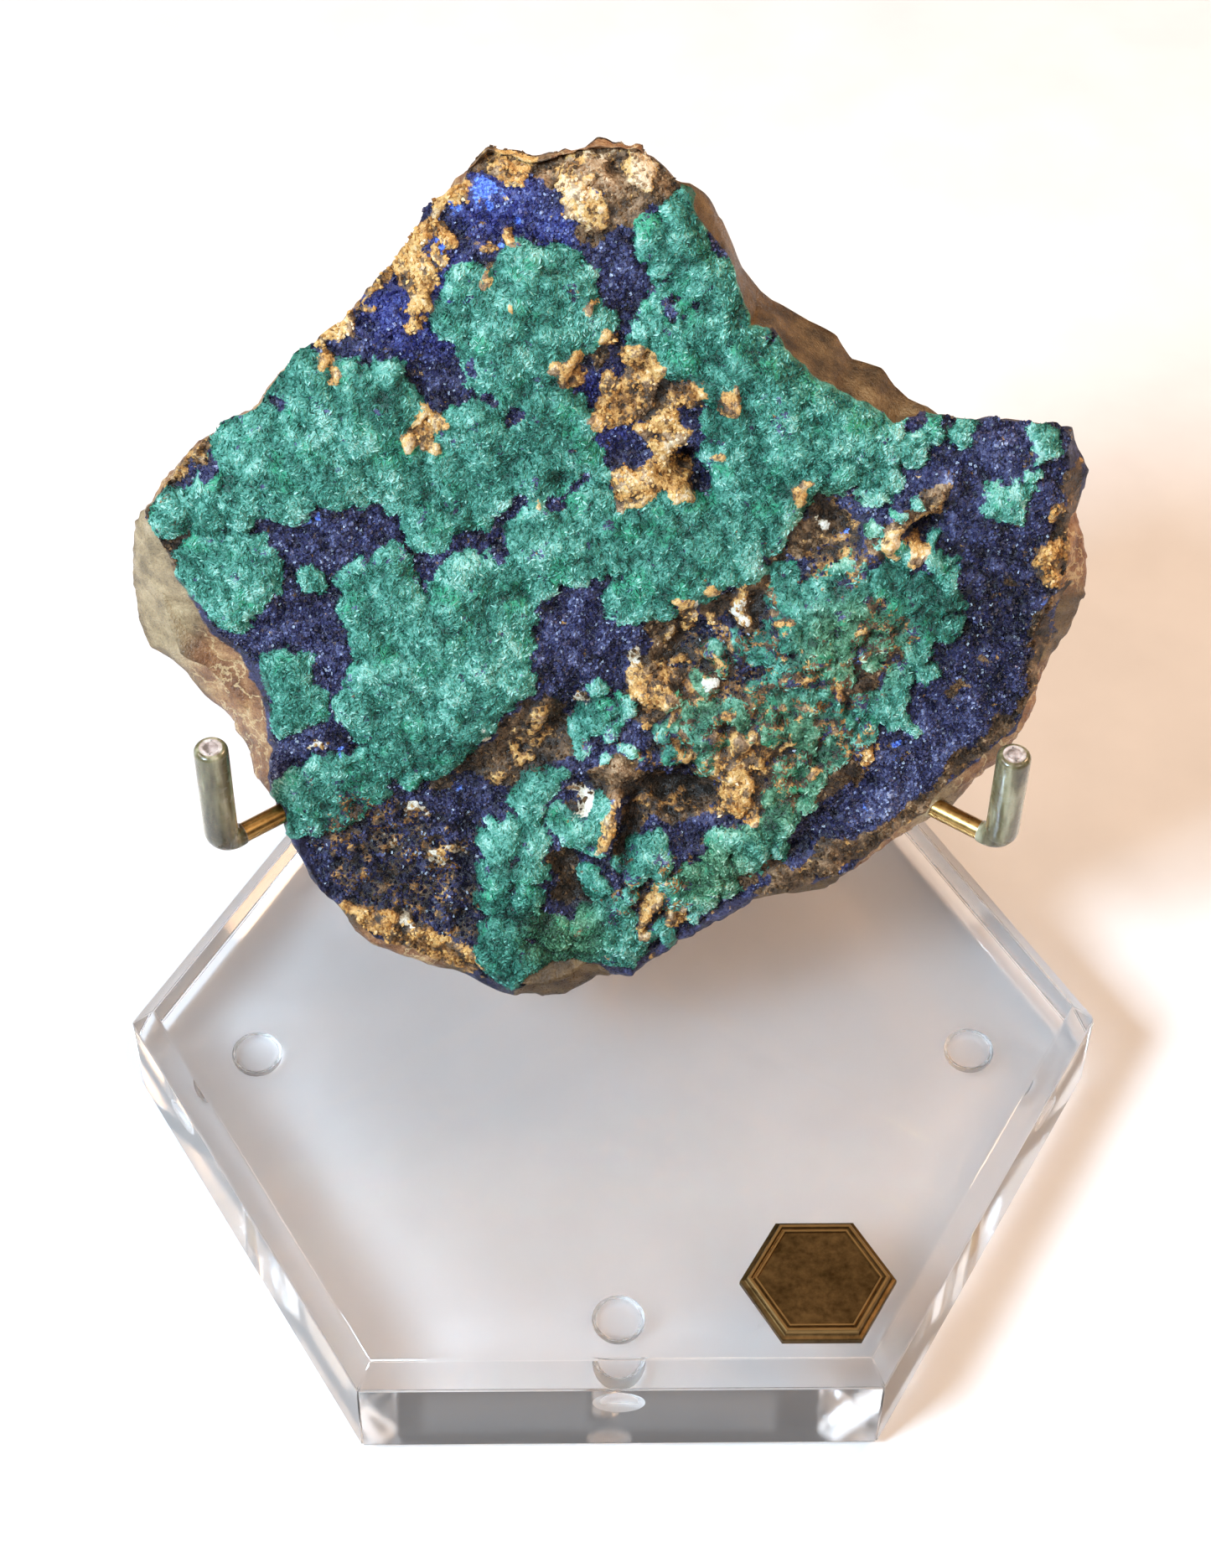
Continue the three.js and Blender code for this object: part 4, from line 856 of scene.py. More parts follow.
def off_the_arms(points):
    """Keeps the rock's skin just outside the room that the two arms take up."""
    room = ROD_RADIUS + GAP
    for side in (-1, 1):
        start = np.array([STAND_MIDDLE_X, POST_Y, ARM_Z])
        end = np.array([STAND_MIDDLE_X + side * HOOK_REACH_X, HOOK_Y, ARM_Z])
        share = np.clip((points - start) @ (end - start) / np.sum((end - start) ** 2), 0, 1)
        nearest = start + share[:, None] * (end - start)
        away = points - nearest
        far = np.maximum(np.linalg.norm(away, axis=1), NO_DISTANCE)
        close = far < room
        points[close] = nearest[close] + away[close] * (room / far[close])[:, None]
    return points


def blurred(grid, reach):
    """A grid of values, each the mean of its neighbours as far as the reach."""
    kernel = np.ones(2 * reach + 1) / (2 * reach + 1)
    for axis in (0, 1):
        margins = [(reach, reach) if side == axis else (0, 0) for side in (0, 1)]
        grid = np.pad(grid, margins, mode="edge")
        grid = np.apply_along_axis(np.convolve, axis, grid, kernel, "valid")
    return grid


# Small solids scattered over the face
def turned_axes(normal, tilt, random):
    """Three axes for each crystal, the first near the surface and the third near its normal."""
    count = len(normal)
    helper = random.normal(size=(count, 3))
    along = helper - np.sum(helper * normal, 1)[:, None] * normal
    along /= np.linalg.norm(along, axis=1)[:, None]
    angle = random.uniform(-tilt, tilt, count)[:, None]
    first = along * np.cos(angle) + normal * np.sin(angle)
    second = np.cross(normal, along)
    third = np.cross(first, second)
    spin = random.uniform(-tilt, tilt, count)[:, None]
    across = second * np.cos(spin) + third * np.sin(spin)
    out = third * np.cos(spin) - second * np.sin(spin)
    return first, across, out


def scattered(name, solid, places, normals, sizes, tilt, own, material, random):
    """One mesh of many small closed solids, each sunk into the surface it grows on."""
    shape, faces = (np.array(part) for part in solid)
    axes = turned_axes(normals, tilt, random)
    lift = CRYSTAL_LIFT * sizes[:, 2]
    points = places[:, None, :] + normals[:, None, :] * lift[:, None, None]
    for axis in range(3):
        half_length = axes[axis] * sizes[:, axis, None]
        points = points + shape[None, :, axis, None] * half_length[:, None, :]
    numbers = faces[None] + (np.arange(len(places)) * len(shape))[:, None, None]
    attributes = {key: np.repeat(values, len(shape)) for key, values in own.items()}
    points = to_world(points.reshape(-1, 3))
    numbers = numbers.reshape(-1, faces.shape[1])
    return mesh_piece(name, points, numbers, material, attributes=attributes)


# Materials
def srgb(red, green, blue):
    """A colour of 0 to 255 levels, as Blender's linear colour."""
    levels = (level / 255 for level in (red, green, blue))
    return (*(x / 12.92 if x <= 0.04045 else ((x + 0.055) / 1.055) ** 2.4 for x in levels), 1)


class Paint:
    """One material, made a node at a time."""

    def __init__(self, name, **sockets):
        self.material = bpy.data.materials.new(name)
        self.material.use_nodes = True
        self.nodes = self.material.node_tree.nodes
        self.links = self.material.node_tree.links
        self.shader = self.nodes["Principled BSDF"]
        self.place = self.add("ShaderNodeTexCoord").outputs["Object"]
        for socket, value in sockets.items():
            self.set(socket.replace("_", " "), value)

    def add(self, kind, inputs=None, **settings):
        node = self.nodes.new(kind)
        for key, value in settings.items():
            setattr(node, key, value)
        for key, value in (inputs or {}).items():
            self.fill(node.inputs[key], value)
        return node

    def fill(self, socket, value):
        """Links another node's output to a socket, or gives it a plain value."""
        if isinstance(value, bpy.types.NodeSocket):
            self.links.new(value, socket)
        else:
            socket.default_value = value

    def set(self, socket, value):
        self.fill(self.shader.inputs[socket], value)

    def attribute(self, name):
        return self.add("ShaderNodeAttribute", attribute_name=name).outputs["Fac"]

    def noise(self, size, detail=2, roughness=0.5, stretch=None):
        """Noise of a size in metres, about 0.5. The stretch says how much finer it is each way."""
        place = self.place
        if stretch:
            node = self.add("ShaderNodeMapping", {"Vector": place, "Scale": stretch})
            place = node.outputs["Vector"]
        inputs = {"Vector": place, "Scale": 1 / size, "Detail": detail, "Roughness": roughness}
        return self.add("ShaderNodeTexNoise", inputs).outputs["Fac"]

    def cells(self, size):
        """Cells of a size in metres, each of a colour of its own."""
        inputs = {"Vector": self.place, "Scale": 1 / size}
        return self.add("ShaderNodeTexVoronoi", inputs).outputs["Color"]

    def maths(self, operation, first, second=0.0):
        return self.add("ShaderNodeMath", {0: first, 1: second}, operation=operation).outputs[0]

    def total(self, *parts):
        """The sum of (value, weight) parts."""
        whole = 0.0
        for value, weight in parts:
            whole = self.maths("ADD", self.maths("MULTIPLY", value, weight), whole)
        return whole

    def step(self, value, low, high, smooth=True):
        """0 below the low value, 1 above the high one."""
        kind = "SMOOTHSTEP" if smooth else "LINEAR"
        inputs = {"Value": value, "From Min": low, "From Max": high}
        node = self.add("ShaderNodeMapRange", inputs, interpolation_type=kind, clamp=True)
        return node.outputs[0]

    def ramp(self, value, stops):
        """A value's colour from (value, levels) stops."""
        node = self.add("ShaderNodeValToRGB", {"Fac": value})
        elements = node.color_ramp.elements
        while len(elements) < len(stops):
            elements.new(0.5)
        for element, (position, colour) in zip(elements, stops):
            element.position = position
            element.color = srgb(*colour)
        return node.outputs["Color"]

    def mix(self, share, first, second):
        inputs = {0: share, 6: first, 7: second}
        return self.add("ShaderNodeMix", inputs, data_type="RGBA").outputs[2]

    def bump(self, height, distance, strength=1.0):
        inputs = {"Height": height, "Distance": distance, "Strength": strength}
        self.set("Normal", self.add("ShaderNodeBump", inputs).outputs["Normal"])


def azurite_colour(paint, tone):
    navy = paint.ramp(tone, NAVY)
    return paint.mix(paint.attribute("royal"), navy, paint.ramp(tone, ULTRAMARINE))


def malachite_colour(paint, tone):
    teal = paint.ramp(tone, TEAL)
    olive = paint.ramp(tone, OLIVE_GREEN)
    return paint.mix(paint.maths("MULTIPLY", paint.attribute("yellowish"), 0.7), teal, olive)


def crumb_colour(paint, tone):
    brown, ochre = paint.ramp(tone, BROWN_EARTH), paint.ramp(tone, OCHRE_EARTH)
    return paint.mix(paint.attribute("ochreness"), brown, ochre)


def crust_colour(paint, grain, medium, sparks, ragged):
    """Azurite, with matrix, malachite, ochre and crumbs laid over it in turn."""
    base = paint.attribute("tone")
    mottled = paint.attribute("mottled")

    def shown(name, shift=0.0):
        """How far a mineral shows, from its attribute and ragged noise along its edge."""
        depth = paint.maths("ADD", paint.attribute(name), ragged)
        return paint.step(depth, shift - 0.08, shift + 0.1)

    blue_tone = paint.total((base, 1.0), (sparks, 0.35), (grain, 0.7), (1.0, -0.55))
    green_tone = paint.total((base, 1.0), (grain, 0.9), (medium, 0.5), (1.0, -0.7))
    earth_tone = paint.total((base, 1.0), (grain, 0.8), (medium, 1.0), (1.0, -0.9))
    brown = paint.ramp(earth_tone, BROWN_EARTH)
    ochre = paint.ramp(earth_tone, OCHRE_EARTH)
    cream = paint.ramp(earth_tone, CREAM_EARTH)

    # Azurite with specks of matrix, then the brown patches
    kinds = paint.noise(0.0024, 4, 0.65)
    matrix = paint.mix(paint.step(kinds, 0.49, 0.56), brown, ochre)
    matrix = paint.mix(paint.step(kinds, 0.66, 0.7), matrix, cream)
    specks = paint.noise(0.0021, 4, 0.65)
    specks = paint.total((specks, 1.0), (mottled, 0.17), (paint.attribute("yellowish"), 0.08))
    colour = paint.mix(paint.step(specks, 0.62, 0.66), azurite_colour(paint, blue_tone), matrix)
    patches = paint.mix(paint.step(kinds, 0.6, 0.66), brown, ochre)
    colour = paint.mix(shown("brown"), colour, patches)

    # Malachite, with vivid patches and small bare gaps
    vivid = paint.maths("MULTIPLY", paint.step(paint.noise(0.005, 3, 0.6), 0.54, 0.66), 0.75)
    vivid_green = paint.ramp(green_tone, VIVID_GREEN)
    green = paint.mix(vivid, malachite_colour(paint, green_tone), vivid_green)
    gaps = paint.total((paint.noise(0.0027, 4, 0.65), 1.0), (mottled, 0.12))
    covered = paint.maths("SUBTRACT", 1.0, paint.step(gaps, 0.61, 0.65))
    colour = paint.mix(paint.maths("MULTIPLY", shown("malachite"), covered), colour, green)

    # Ochre, bright blue spots and cream crumbs
    patches = paint.mix(paint.step(kinds, 0.43, 0.5), brown, ochre)
    colour = paint.mix(shown("ochre"), colour, patches)
    colour = paint.mix(shown("bright", 0.4), colour, paint.ramp(grain, BRIGHT_BLUE))
    return paint.mix(shown("cream", 0.2), colour, cream)


def flank_colour(paint, grain):
    """The broken flank and back, with pale stretches and rusty ones with pale veins."""
    strata = paint.noise(0.004, 4, 0.62)
    tone = paint.total((strata, 0.9), (grain, 0.25), (1.0, -0.08))
    rusty = paint.attribute("rusty")
    drab, pale = paint.ramp(tone, DRAB_ROCK), paint.ramp(tone, PALE_ROCK)
    rock = paint.mix(paint.attribute("pale"), drab, pale)
    rock = paint.mix(rusty, rock, paint.ramp(tone, RUSTY_ROCK))
    veins = paint.maths("ABSOLUTE", paint.maths("SUBTRACT", paint.noise(0.006, 4, 0.6), 0.5))
    vein = paint.maths("SUBTRACT", 1.0, paint.step(veins, 0.004, 0.022))
    vein = paint.maths("MULTIPLY", vein, rusty)
    return paint.mix(paint.maths("MULTIPLY", vein, 0.6), rock, srgb(*ROCK_VEIN))


def mineral_paint():
    """The rock's skin, painted by how far inside each mineral a place is, in millimetres."""
    paint = Paint("mineral")
    grain = paint.noise(0.0004, 3, 0.6)
    medium = paint.noise(0.0014, 3, 0.55)
    sparks = paint.cells(0.0005)
    ragged = paint.total((medium, 1.8), (grain, 1.2), (1.0, -1.5))
    crust = crust_colour(paint, grain, medium, sparks, ragged)
    bareness = paint.total((paint.attribute("bare"), 1.0), (ragged, 0.18))
    colour = paint.mix(paint.step(bareness, 0.42, 0.6), crust, flank_colour(paint, grain))
    paint.set("Base Color", colour)
    paint.set("Roughness", paint.step(grain, 0.2, 0.9, False))
    paint.bump(paint.total((grain, 1.0), (sparks, 0.5), (medium, 1.0)), 0.0004, 0.8)
    return paint.material


def crystal_paint(name, colour, roughness, specular):
    """Small crystals, each with its own tone."""
    paint = Paint(name, Roughness=roughness, Specular_IOR_Level=specular)
    tone = paint.total((paint.attribute("tone"), 1.0), (paint.noise(0.0005, 2), 0.4), (1.0, -0.2))
    paint.set("Base Color", colour(paint, tone))
    paint.bump(paint.noise(0.0002, 2), 0.00005, 0.5)
    return paint.material


def clear_paint(name, colour):
    return Paint(name, Base_Color=colour, IOR=CLEAR_INDEX, Transmission_Weight=1.0)


def acrylic_paint():
    """The base's clear material, with faint smudges and hairlines."""
    paint = clear_paint("acrylic", ACRYLIC_COLOUR)
    smudges = paint.step(paint.noise(0.012, 3, 0.6), 0.4, 0.75)
    paint.set("Roughness", paint.maths("MULTIPLY", smudges, SMUDGE_ROUGHNESS))
    paint.bump(paint.noise(0.004, 5, 0.7, stretch=(1, 7, 1)), 0.00001, 0.15)
    return paint.material


def frosted_paint():
    """The feet's softer clear material, which blurs what is seen through it."""
    paint = clear_paint("frosted", FOOT_COLOUR)
    paint.set("Roughness", FOOT_ROUGHNESS)
    return paint.material


def metal_paint(name, colours, roughness, stretch, highlight_colour=None):
    """Brushed metal, painted lighter where an attribute marks a painted highlight on raised edges.
    """
    paint = Paint(name, Metallic=1.0)
    brushed = paint.noise(0.0012, 4, 0.65, stretch=stretch)
    tone = paint.total((brushed, 0.5), (paint.noise(0.006, 3), 0.5))
    metal = paint.ramp(tone, colours)
    if highlight_colour:
        metal = paint.mix(paint.attribute("highlighted"), metal, srgb(*highlight_colour))
    paint.set("Base Color", metal)
    paint.set("Roughness", paint.total((brushed, 0.25), (1.0, roughness - 0.12)))
    paint.bump(brushed, 0.00004, 0.35)
    return paint.material


def vinyl_paint():
    """The dipped sleeves, yellowish with a pale end and a reddish middle in its dimple."""
    coat = {"Coat_Weight": 0.5, "Coat_Roughness": 0.12}
    paint = Paint("vinyl", Subsurface_Weight=0.15, Subsurface_Scale=0.001, **coat)
    body = paint.ramp(paint.noise(0.003, 3, 0.6, stretch=(1, 1, 0.18)), VINYL)
    end = paint.attribute("tip")
    cut = paint.ramp(paint.noise(0.0012, 3), VINYL_CUT)
    colour = paint.mix(paint.step(end, 0.15, 0.5), body, cut)
    colour = paint.mix(paint.step(end, 1.0, 1.6), colour, srgb(*VINYL_CORE))
    paint.set("Base Color", colour)
    paint.set("Roughness", paint.total((paint.noise(0.0015, 3), 0.3), (1.0, 0.12)))
    paint.bump(paint.noise(0.0018, 2), 0.00015, 0.3)
    return paint.material


# The specimen and what grows on it
def specimen():
    grid, x, y, height = face_grid()
    body = specimen_skin(grid, x, y, height)
    points = np.concatenate(body.points)
    flank = np.concatenate(body.flank)
    skin_x, skin_y, out = points.T
    mineral = minerals(skin_x, skin_y)
    # How far each place stands above or sinks below its neighbours, which tones() turns into
    # painted shade in hollows and painted highlight on crests
    fine, coarse = height - blurred(height, 2), height - blurred(height, 7)
    face_crest_shading = np.clip(fine / 0.3 + coarse / 0.9, -2, 1.6)
    crest_shading = np.zeros(len(points))
    crest_shading[:height.size] = face_crest_shading.ravel()
    attributes = {
        **mineral,
        "tone": tones(skin_x, skin_y, crest_shading, mineral),
        "pale": smoothstep(inside(skin_x, skin_y, PALE_FLANK), -3, 2),
        "rusty": smoothstep(inside(skin_x, skin_y, RUSTY_FLANK), -3, 2),
        "bare": bareness(skin_x, skin_y, out, flank),
    }
    place = off_the_arms(to_world(points))
    rock = mesh_piece("rock", place, body.faces, mineral_paint(), True, attributes)
    stand_in(rock, "specimen")
    crystals(x, y, height, face_crest_shading)


def bareness(x, y, out, flank):
    """0 where minerals cover the skin and 1 where the broken rock is bare."""
    open_flank = smoothstep(inside(x, y, BARE_FLANK), -1.5, 1.5)
    behind = smoothstep(-out, 3.5, 5.5)
    return np.clip(flank * np.maximum(open_flank * 2.5, 0.3) + flank * behind, 0, 1)


def growing_places(x, y, height, random):
    """A place somewhere on each cell of the face's grid, and the way that it faces."""
    surface = np.stack([x, y, height], -1)
    down, across = surface[1:] - surface[:-1], surface[:, 1:] - surface[:, :-1]
    normal = np.cross(down[:, :-1], across[:-1])
    normal /= np.linalg.norm(normal, axis=2)[..., None]
    share_a = random.random(normal.shape[:2])[..., None]
    share_b = random.random(normal.shape[:2])[..., None]
    upper = surface[:-1, :-1] * (1 - share_b) + surface[:-1, 1:] * share_b
    lower = surface[1:, :-1] * (1 - share_b) + surface[1:, 1:] * share_b
    place = (upper * (1 - share_a) + lower * share_a).reshape(-1, 3)
    normal = normal.reshape(-1, 3)
    if normal[:, 2].mean() < 0:
        normal = -normal
    return place, normal


def crystals(x, y, height, crest_shading):
    """Malachite blades, azurite crystals and matrix crumbs, grown on the face's own grid."""
    random = np.random.default_rng(SEED)
    place, normal = growing_places(x, y, height, random)
    mineral = minerals(place[:, 0], place[:, 1])
    # The crystals take the face's tone, with the same painted shade in hollows and highlight on
    # crests
    base_tone = tones(place[:, 0], place[:, 1], crest_shading[:-1, :-1].ravel(), mineral)
    draw = random.random(len(place))
    other = np.maximum.reduce([mineral["ochre"], mineral["brown"], mineral["cream"]])
    green = (mineral["malachite"] > 0) & (mineral["ochre"] < -0.2) & (mineral["cream"] < -0.2)
    green &= draw < BLADE_SHARE - 0.35 * mineral["mottled"]
    blue = (mineral["malachite"] < -0.05) & (other < -0.15) & (mineral["bright"] < 0.2)
    blue &= draw < CRYSTAL_SHARE - 0.3 * mineral["mottled"] - 0.45 * mineral["yellowish"]
    earth = (mineral["malachite"] < 0) & (other > 0) & (draw < CRUMB_SHARE)

    def grow(name, solid, chosen, size, spread, tilt, material):
        """One kind of small solid on the chosen places, of varied size, lean and tone."""
        count = int(chosen.sum())
        sizes = np.array(size) * random.uniform(1 - spread, 1 + spread, (count, 3))
        own = {key: mineral[key][chosen] for key in ("royal", "yellowish")}
        tone = base_tone[chosen] + random.normal(0, TONE_SPREAD, count)
        own["tone"] = np.clip(tone, 0.05, 0.98)
        excess = mineral["ochre"][chosen] - mineral["brown"][chosen]
        own["ochreness"] = smoothstep(excess, -0.5, 0.5)
        spots = (place[chosen], normal[chosen])
        piece = scattered(name, solid, *spots, sizes, tilt, own, material, random)
        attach(piece, "root")

    malachite = crystal_paint("malachite", malachite_colour, 0.6, 0.35)
    azurite = crystal_paint("azurite", azurite_colour, 0.32, 0.5)
    crumbs = crystal_paint("crumbs", crumb_colour, 0.8, 0.3)
    grow("malachite_blades", DOUBLE_PYRAMID, green, BLADE_SIZE, 0.35, 0.6, malachite)
    grow("azurite_crystals", BLOCK, blue, CRYSTAL_SIZE, 0.4, 0.9, azurite)
    grow("matrix_crumbs", DOUBLE_PYRAMID, earth, CRUMB_SIZE, 0.4, 0.9, crumbs)


# Holder
def ring_faces(rings, sides):
    """Faces of a closed solid made of rings of points, with a flat face at either end."""
    final = (rings - 1) * sides
    faces = [tuple(range(sides))[::-1], tuple(final + j for j in range(sides))]
    for low in range(0, final, sides):
        high = low + sides
        for j in range(sides):
            after = (j + 1) % sides
            faces.append((low + j, low + after, high + after, high + j))
    return faces


def tube(name, stations, radii, material, sides=TUBE_SIDES, tip=None):
    """A round solid along its stations, with a radius and a paleness (tip) for each of them."""
    route = [Vector(station) for station in stations]
    points = []
    side = (route[1] - route[0]).orthogonal().normalized()
    for i, station in enumerate(route):
        before = route[max(i - 1, 0)]
        after = route[min(i + 1, len(route) - 1)]
        along = (after - before).normalized() if after != before else along
        side = (side - side.dot(along) * along).normalized()
        other = along.cross(side)
        for j in range(sides):
            angle = 2 * math.pi * j / sides
            points.append(station + radii[i] * (math.cos(angle) * side + math.sin(angle) * other))
    points = [tuple(point) for point in points]
    attributes = {"tip": np.repeat(tip, sides)} if tip else None
    piece = mesh_piece(name, points, ring_faces(len(route), sides), material, True, attributes)
    piece.data.set_sharp_from_angle(angle=TUBE_SHARP)
    return piece


def rod(name, stations, material):
    """A bare rod with a small chamfer at its start. Its other end is hidden inside a sleeve."""
    start, after, *rest = [Vector(station) for station in stations]
    chamfered = start + (after - start).normalized() * ROD_CHAMFER
    end = rest[-1] + (rest[-2] - rest[-1]).normalized() * SLEEVE_CAP
    places = [start, chamfered, after, *rest[:-1], end]
    radii = [ROD_RADIUS - ROD_CHAMFER] + [ROD_RADIUS] * (len(places) - 1)
    return tube(name, places, radii, material)


def sleeve(name, stations, material):
    """A dipped sleeve: thin at its mouth, with a round shoulder and a dimple at its closed end."""
    route = [Vector(station) for station in stations]
    back = (route[-2] - route[-1]).normalized()
    places = route[:-1]
    mouth = ROD_RADIUS + SLEEVE_LIP
    swelling = [min(1, i / (SLEEVE_FULL_AT * len(places))) for i in range(len(places))]
    radii = [mouth + (SLEEVE_RADIUS - mouth) * share for share in swelling]
    tip = [MOUTH_PALENESS] + [0] * (len(places) - 1)
    for i in range(SHOULDER_STEPS + 1):
        angle = math.pi / 2 * i / SHOULDER_STEPS
        places.append(route[-1] + back * SLEEVE_SHOULDER * (1 - math.sin(angle)))
        radii.append(SLEEVE_RADIUS - SLEEVE_SHOULDER * (1 - math.cos(angle)))
        tip.append(max(0, 2 * i / SHOULDER_STEPS - 1.6))
    for radius, depth, paleness in SLEEVE_DIMPLE:
        places.append(route[-1] + back * depth)
        radii.append(radius)
        tip.append(paleness)
    return tube(name, places, radii, material, tip=tip)


def bent(start, corner, end, bend_radius):
    """Stations of a rod that rounds its corner."""
    start, corner, end = Vector(start), Vector(corner), Vector(end)
    back, on = (start - corner).normalized(), (end - corner).normalized()
    half = back.angle(on) / 2
    reach = bend_radius / math.tan(half)
    middle = corner + (back + on).normalized() * bend_radius / math.sin(half)
    first, last = corner + back * reach - middle, corner + on * reach - middle
    axis = first.cross(last).normalized()
    sweep = first.angle(last)
    turns = [Matrix.Rotation(sweep * i / BEND_TURNS, 3, axis) for i in range(BEND_TURNS + 1)]
    return [start, *(turn @ first + middle for turn in turns), end]


def arm_stations(side):
    """The rod from the hub to the left (-1) or right (1) hook, and up to the hook's top."""
    corner = Vector((STAND_MIDDLE_X + side * HOOK_REACH_X, HOOK_Y, ARM_Z))
    middle = Vector((STAND_MIDDLE_X, POST_Y, ARM_Z))
    start = middle + (corner - middle).normalized() * (HUB_RADIUS + GAP)
    return bent(start, corner, (corner.x, corner.y, HOOK_TOP_Z[side]), HOOK_BEND_RADIUS)


def prong_stations():
    """The rod that leans on the rock's back: up from the hub, then along the back."""
    x, y = REST_PLACE
    depth = BODY_THICKNESS + (SLEEVE_RADIUS + 2 * GAP) / MM
    heights = (y + REST_HALF_LENGTH, y - REST_HALF_LENGTH)
    pad_top, pad_low = to_world([(x, height, -depth) for height in heights])
    share = (POST_Y - pad_low[1]) / (pad_top[1] - pad_low[1])
    corner = pad_low + share * (pad_top - pad_low)
    start = (STAND_MIDDLE_X, POST_Y, ARM_Z + HUB_HEIGHT / 2 + GAP)
    return bent(start, corner, pad_top, PRONG_BEND_RADIUS)


def softened_copy(node, width, material, name):
    """A CAD node's form with its faces joined up and its edges broken by a narrow bevel."""
    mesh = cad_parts[node].data.copy()
    work = bmesh.new()
    work.from_mesh(mesh)
    bmesh.ops.remove_doubles(work, verts=work.verts, dist=MERGE_DISTANCE)
    bmesh.ops.dissolve_limit(work, angle_limit=MERGE_ANGLE, verts=work.verts, edges=work.edges)
    sharp = [edge for edge in work.edges if edge.calc_face_angle(0) > BEVEL_ANGLE]
    bmesh.ops.bevel(
        work, geom=sharp, offset=width, segments=EDGE_SEGMENTS, affect="EDGES", clamp_overlap=True
    )
    work.to_mesh(mesh)
    work.free()
    mesh.materials.clear()
    mesh.materials.append(material)
    mesh.shade_smooth()
    mesh.set_sharp_from_angle(angle=SOFTENED_SHARP)
    return linked(name, mesh)


def middle_of(node):
    """The middle of a CAD node's box, seen from above."""
    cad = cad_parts[node]
    corners = [cad.matrix_world @ Vector(corner) for corner in cad.bound_box]
    return sum((corner.xy for corner in corners), Vector((0, 0))) / len(corners)


def plaque(material):
    """The badge: an outer ledge, a raised border, and a thin raised line round a plain field."""
    middle = middle_of("badge")
    points = []
    highlighted = []
    for flat, height in PLAQUE_PROFILE:
        reach = flat * MM / math.cos(math.pi / 6)
        for i in range(6):
            angle = math.pi / 3 * i
            x, y = middle.x + reach * math.cos(angle), middle.y + reach * math.sin(angle)
            points.append((x, y, BASE_TOP + GAP + height * MM))
            # Rings of the raised border get a painted highlight
            highlighted.append(HIGHLIGHT_SHARE if height >= PLAQUE_HIGHLIGHT_FROM else 0)
    faces = ring_faces(len(PLAQUE_PROFILE), 6)
    return mesh_piece("plaque", points, faces, material, attributes={"highlighted": highlighted})


def bumper(node, material):
    """A domed frosted foot that reaches just into the base's underside."""
    middle = middle_of(node)
    stations = [(middle.x, middle.y, height * MM) for radius, height in FOOT_PROFILE]
    radii = [radius * MM for radius, height in FOOT_PROFILE]
    return tube(node + "_dome", stations, radii, material, sides=FOOT_SIDES)


def clear_block(material, foot_material):
    """The clear base made one solid with its four frosted feet, as light passes between them."""
    block = softened_copy("acrylic_base", BASE_EDGE, material, "base_block")
    feet = [f"foot_{place}" for place in ("front", "right", "back", "left")]
    domes = [bumper(foot, foot_material) for foot in feet]
    for dome in domes:
        join = block.modifiers.new(dome.name, "BOOLEAN")
        join.operation = "UNION"
        join.solver = "EXACT"
        join.material_mode = "TRANSFER"
        join.object = dome
    solid = block.evaluated_get(bpy.context.evaluated_depsgraph_get())
    block.data = bpy.data.meshes.new_from_object(solid)
    block.modifiers.clear()
    for dome in domes:
        bpy.data.objects.remove(dome)
    block.data.set_sharp_from_angle(angle=BLOCK_SHARP)
    for face in block.data.polygons:
        face.use_smooth = face.area < FLAT_AREA
    stand_in(block, "acrylic_base")
    for foot in feet:
        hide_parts(foot)


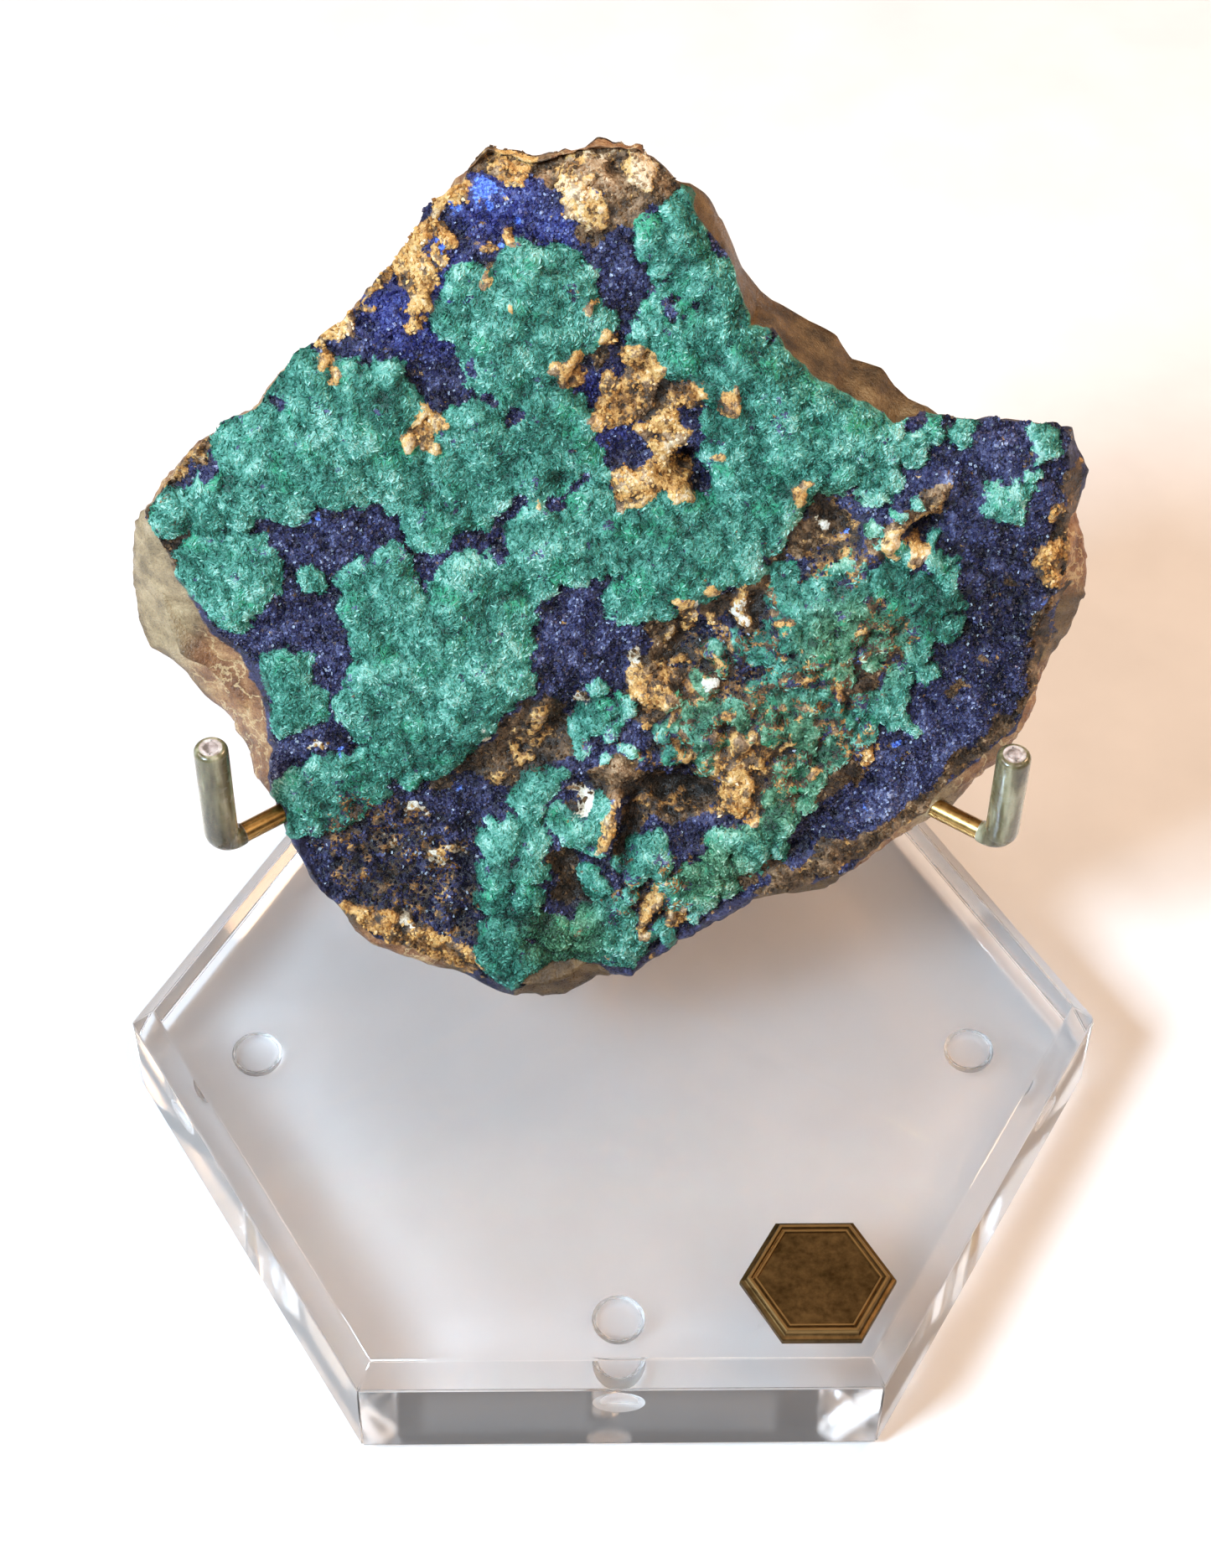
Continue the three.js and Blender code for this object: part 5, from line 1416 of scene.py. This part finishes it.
def stand():
    acrylic, vinyl = acrylic_paint(), vinyl_paint()
    brass = metal_paint("brass", BRASS, 0.3, (1, 1, 0.25))
    aged = metal_paint("aged_brass", AGED_BRASS, 0.4, (1, 1, 1), HIGHLIGHT_BRASS)
    clear_block(acrylic, frosted_paint())
    stand_in(plaque(aged), "badge")
    for node in ("post", "hub"):
        stand_in(softened_copy(node, METAL_EDGE, brass, f"stand_{node}"), node)
    for name, side in (("left", -1), ("right", 1)):
        start, *hook = arm_stations(side)
        stand_in(rod(f"rod_{name}", [start, *hook], brass), f"arm_{name}")
        stand_in(sleeve(f"dip_{name}", hook, vinyl), f"sleeve_{name}")
    prong = prong_stations()
    stand_in(rod("rod_back", prong, brass), "back_prong")
    pad = [prong[-2].lerp(prong[-1], share) for share in PAD_SHARES]
    stand_in(sleeve("dip_back", pad, vinyl), "sleeve_back")


# Camera, lights and floor
def camera():
    yaw, pitch, roll = CAMERA_YAW, CAMERA_PITCH, CAMERA_ROLL
    level = math.cos(pitch)
    forward = Vector((math.sin(yaw) * level, math.cos(yaw) * level, -math.sin(pitch)))
    right = Vector((math.cos(yaw), -math.sin(yaw), 0))
    up = right.cross(forward)
    rolled_right = math.cos(roll) * right + math.sin(roll) * up
    rolled_up = math.cos(roll) * up - math.sin(roll) * right
    data = bpy.data.cameras.new("camera")
    data.lens = CAMERA_LENS
    data.sensor_width = CAMERA_SENSOR
    data.clip_start = CAMERA_CLIP_START
    turned = Matrix((rolled_right, rolled_up, -forward)).transposed()
    view = linked("camera", data)
    view.matrix_world = Matrix.Translation(CAMERA_PLACE) @ turned.to_4x4()
    bpy.context.scene.camera = view


def lamp(name, place, aim, size, power, colour):
    """A square lamp that faces what it is aimed at."""
    data = bpy.data.lights.new(name, "AREA")
    data.shape = "SQUARE"
    data.size = size
    data.energy = power
    data.color = colour
    light = linked(name, data)
    light.location = place
    light.rotation_euler = (Vector(aim) - Vector(place)).to_track_quat("-Z", "Y").to_euler()


def floor():
    """The table, nearly white and very faintly uneven."""
    paint = Paint("floor", Roughness=0.6)
    paint.set("Base Color", paint.ramp(paint.noise(0.02, 4), TABLE))
    far = FLOOR_REACH
    corners = [(-far, -far, 0), (far, -far, 0), (far, far, 0), (-far, far, 0)]
    mesh_piece("floor", corners, [(0, 1, 2, 3)], paint.material)


def lights():
    world = bpy.data.worlds.new("world")
    world.use_nodes = True
    world.node_tree.nodes["Background"].inputs["Color"].default_value = WORLD_COLOUR
    scene = bpy.context.scene
    scene.world = world
    scene.view_settings.view_transform = "Standard"
    scene.cycles.max_bounces = LIGHT_BOUNCES
    scene.cycles.transmission_bounces = LIGHT_BOUNCES
    scene.cycles.glossy_bounces = LIGHT_BOUNCES
    scene.cycles.sample_clamp_indirect = 0
    for settings in LAMPS:
        lamp(*settings)


camera()
floor()
lights()
specimen()
stand()
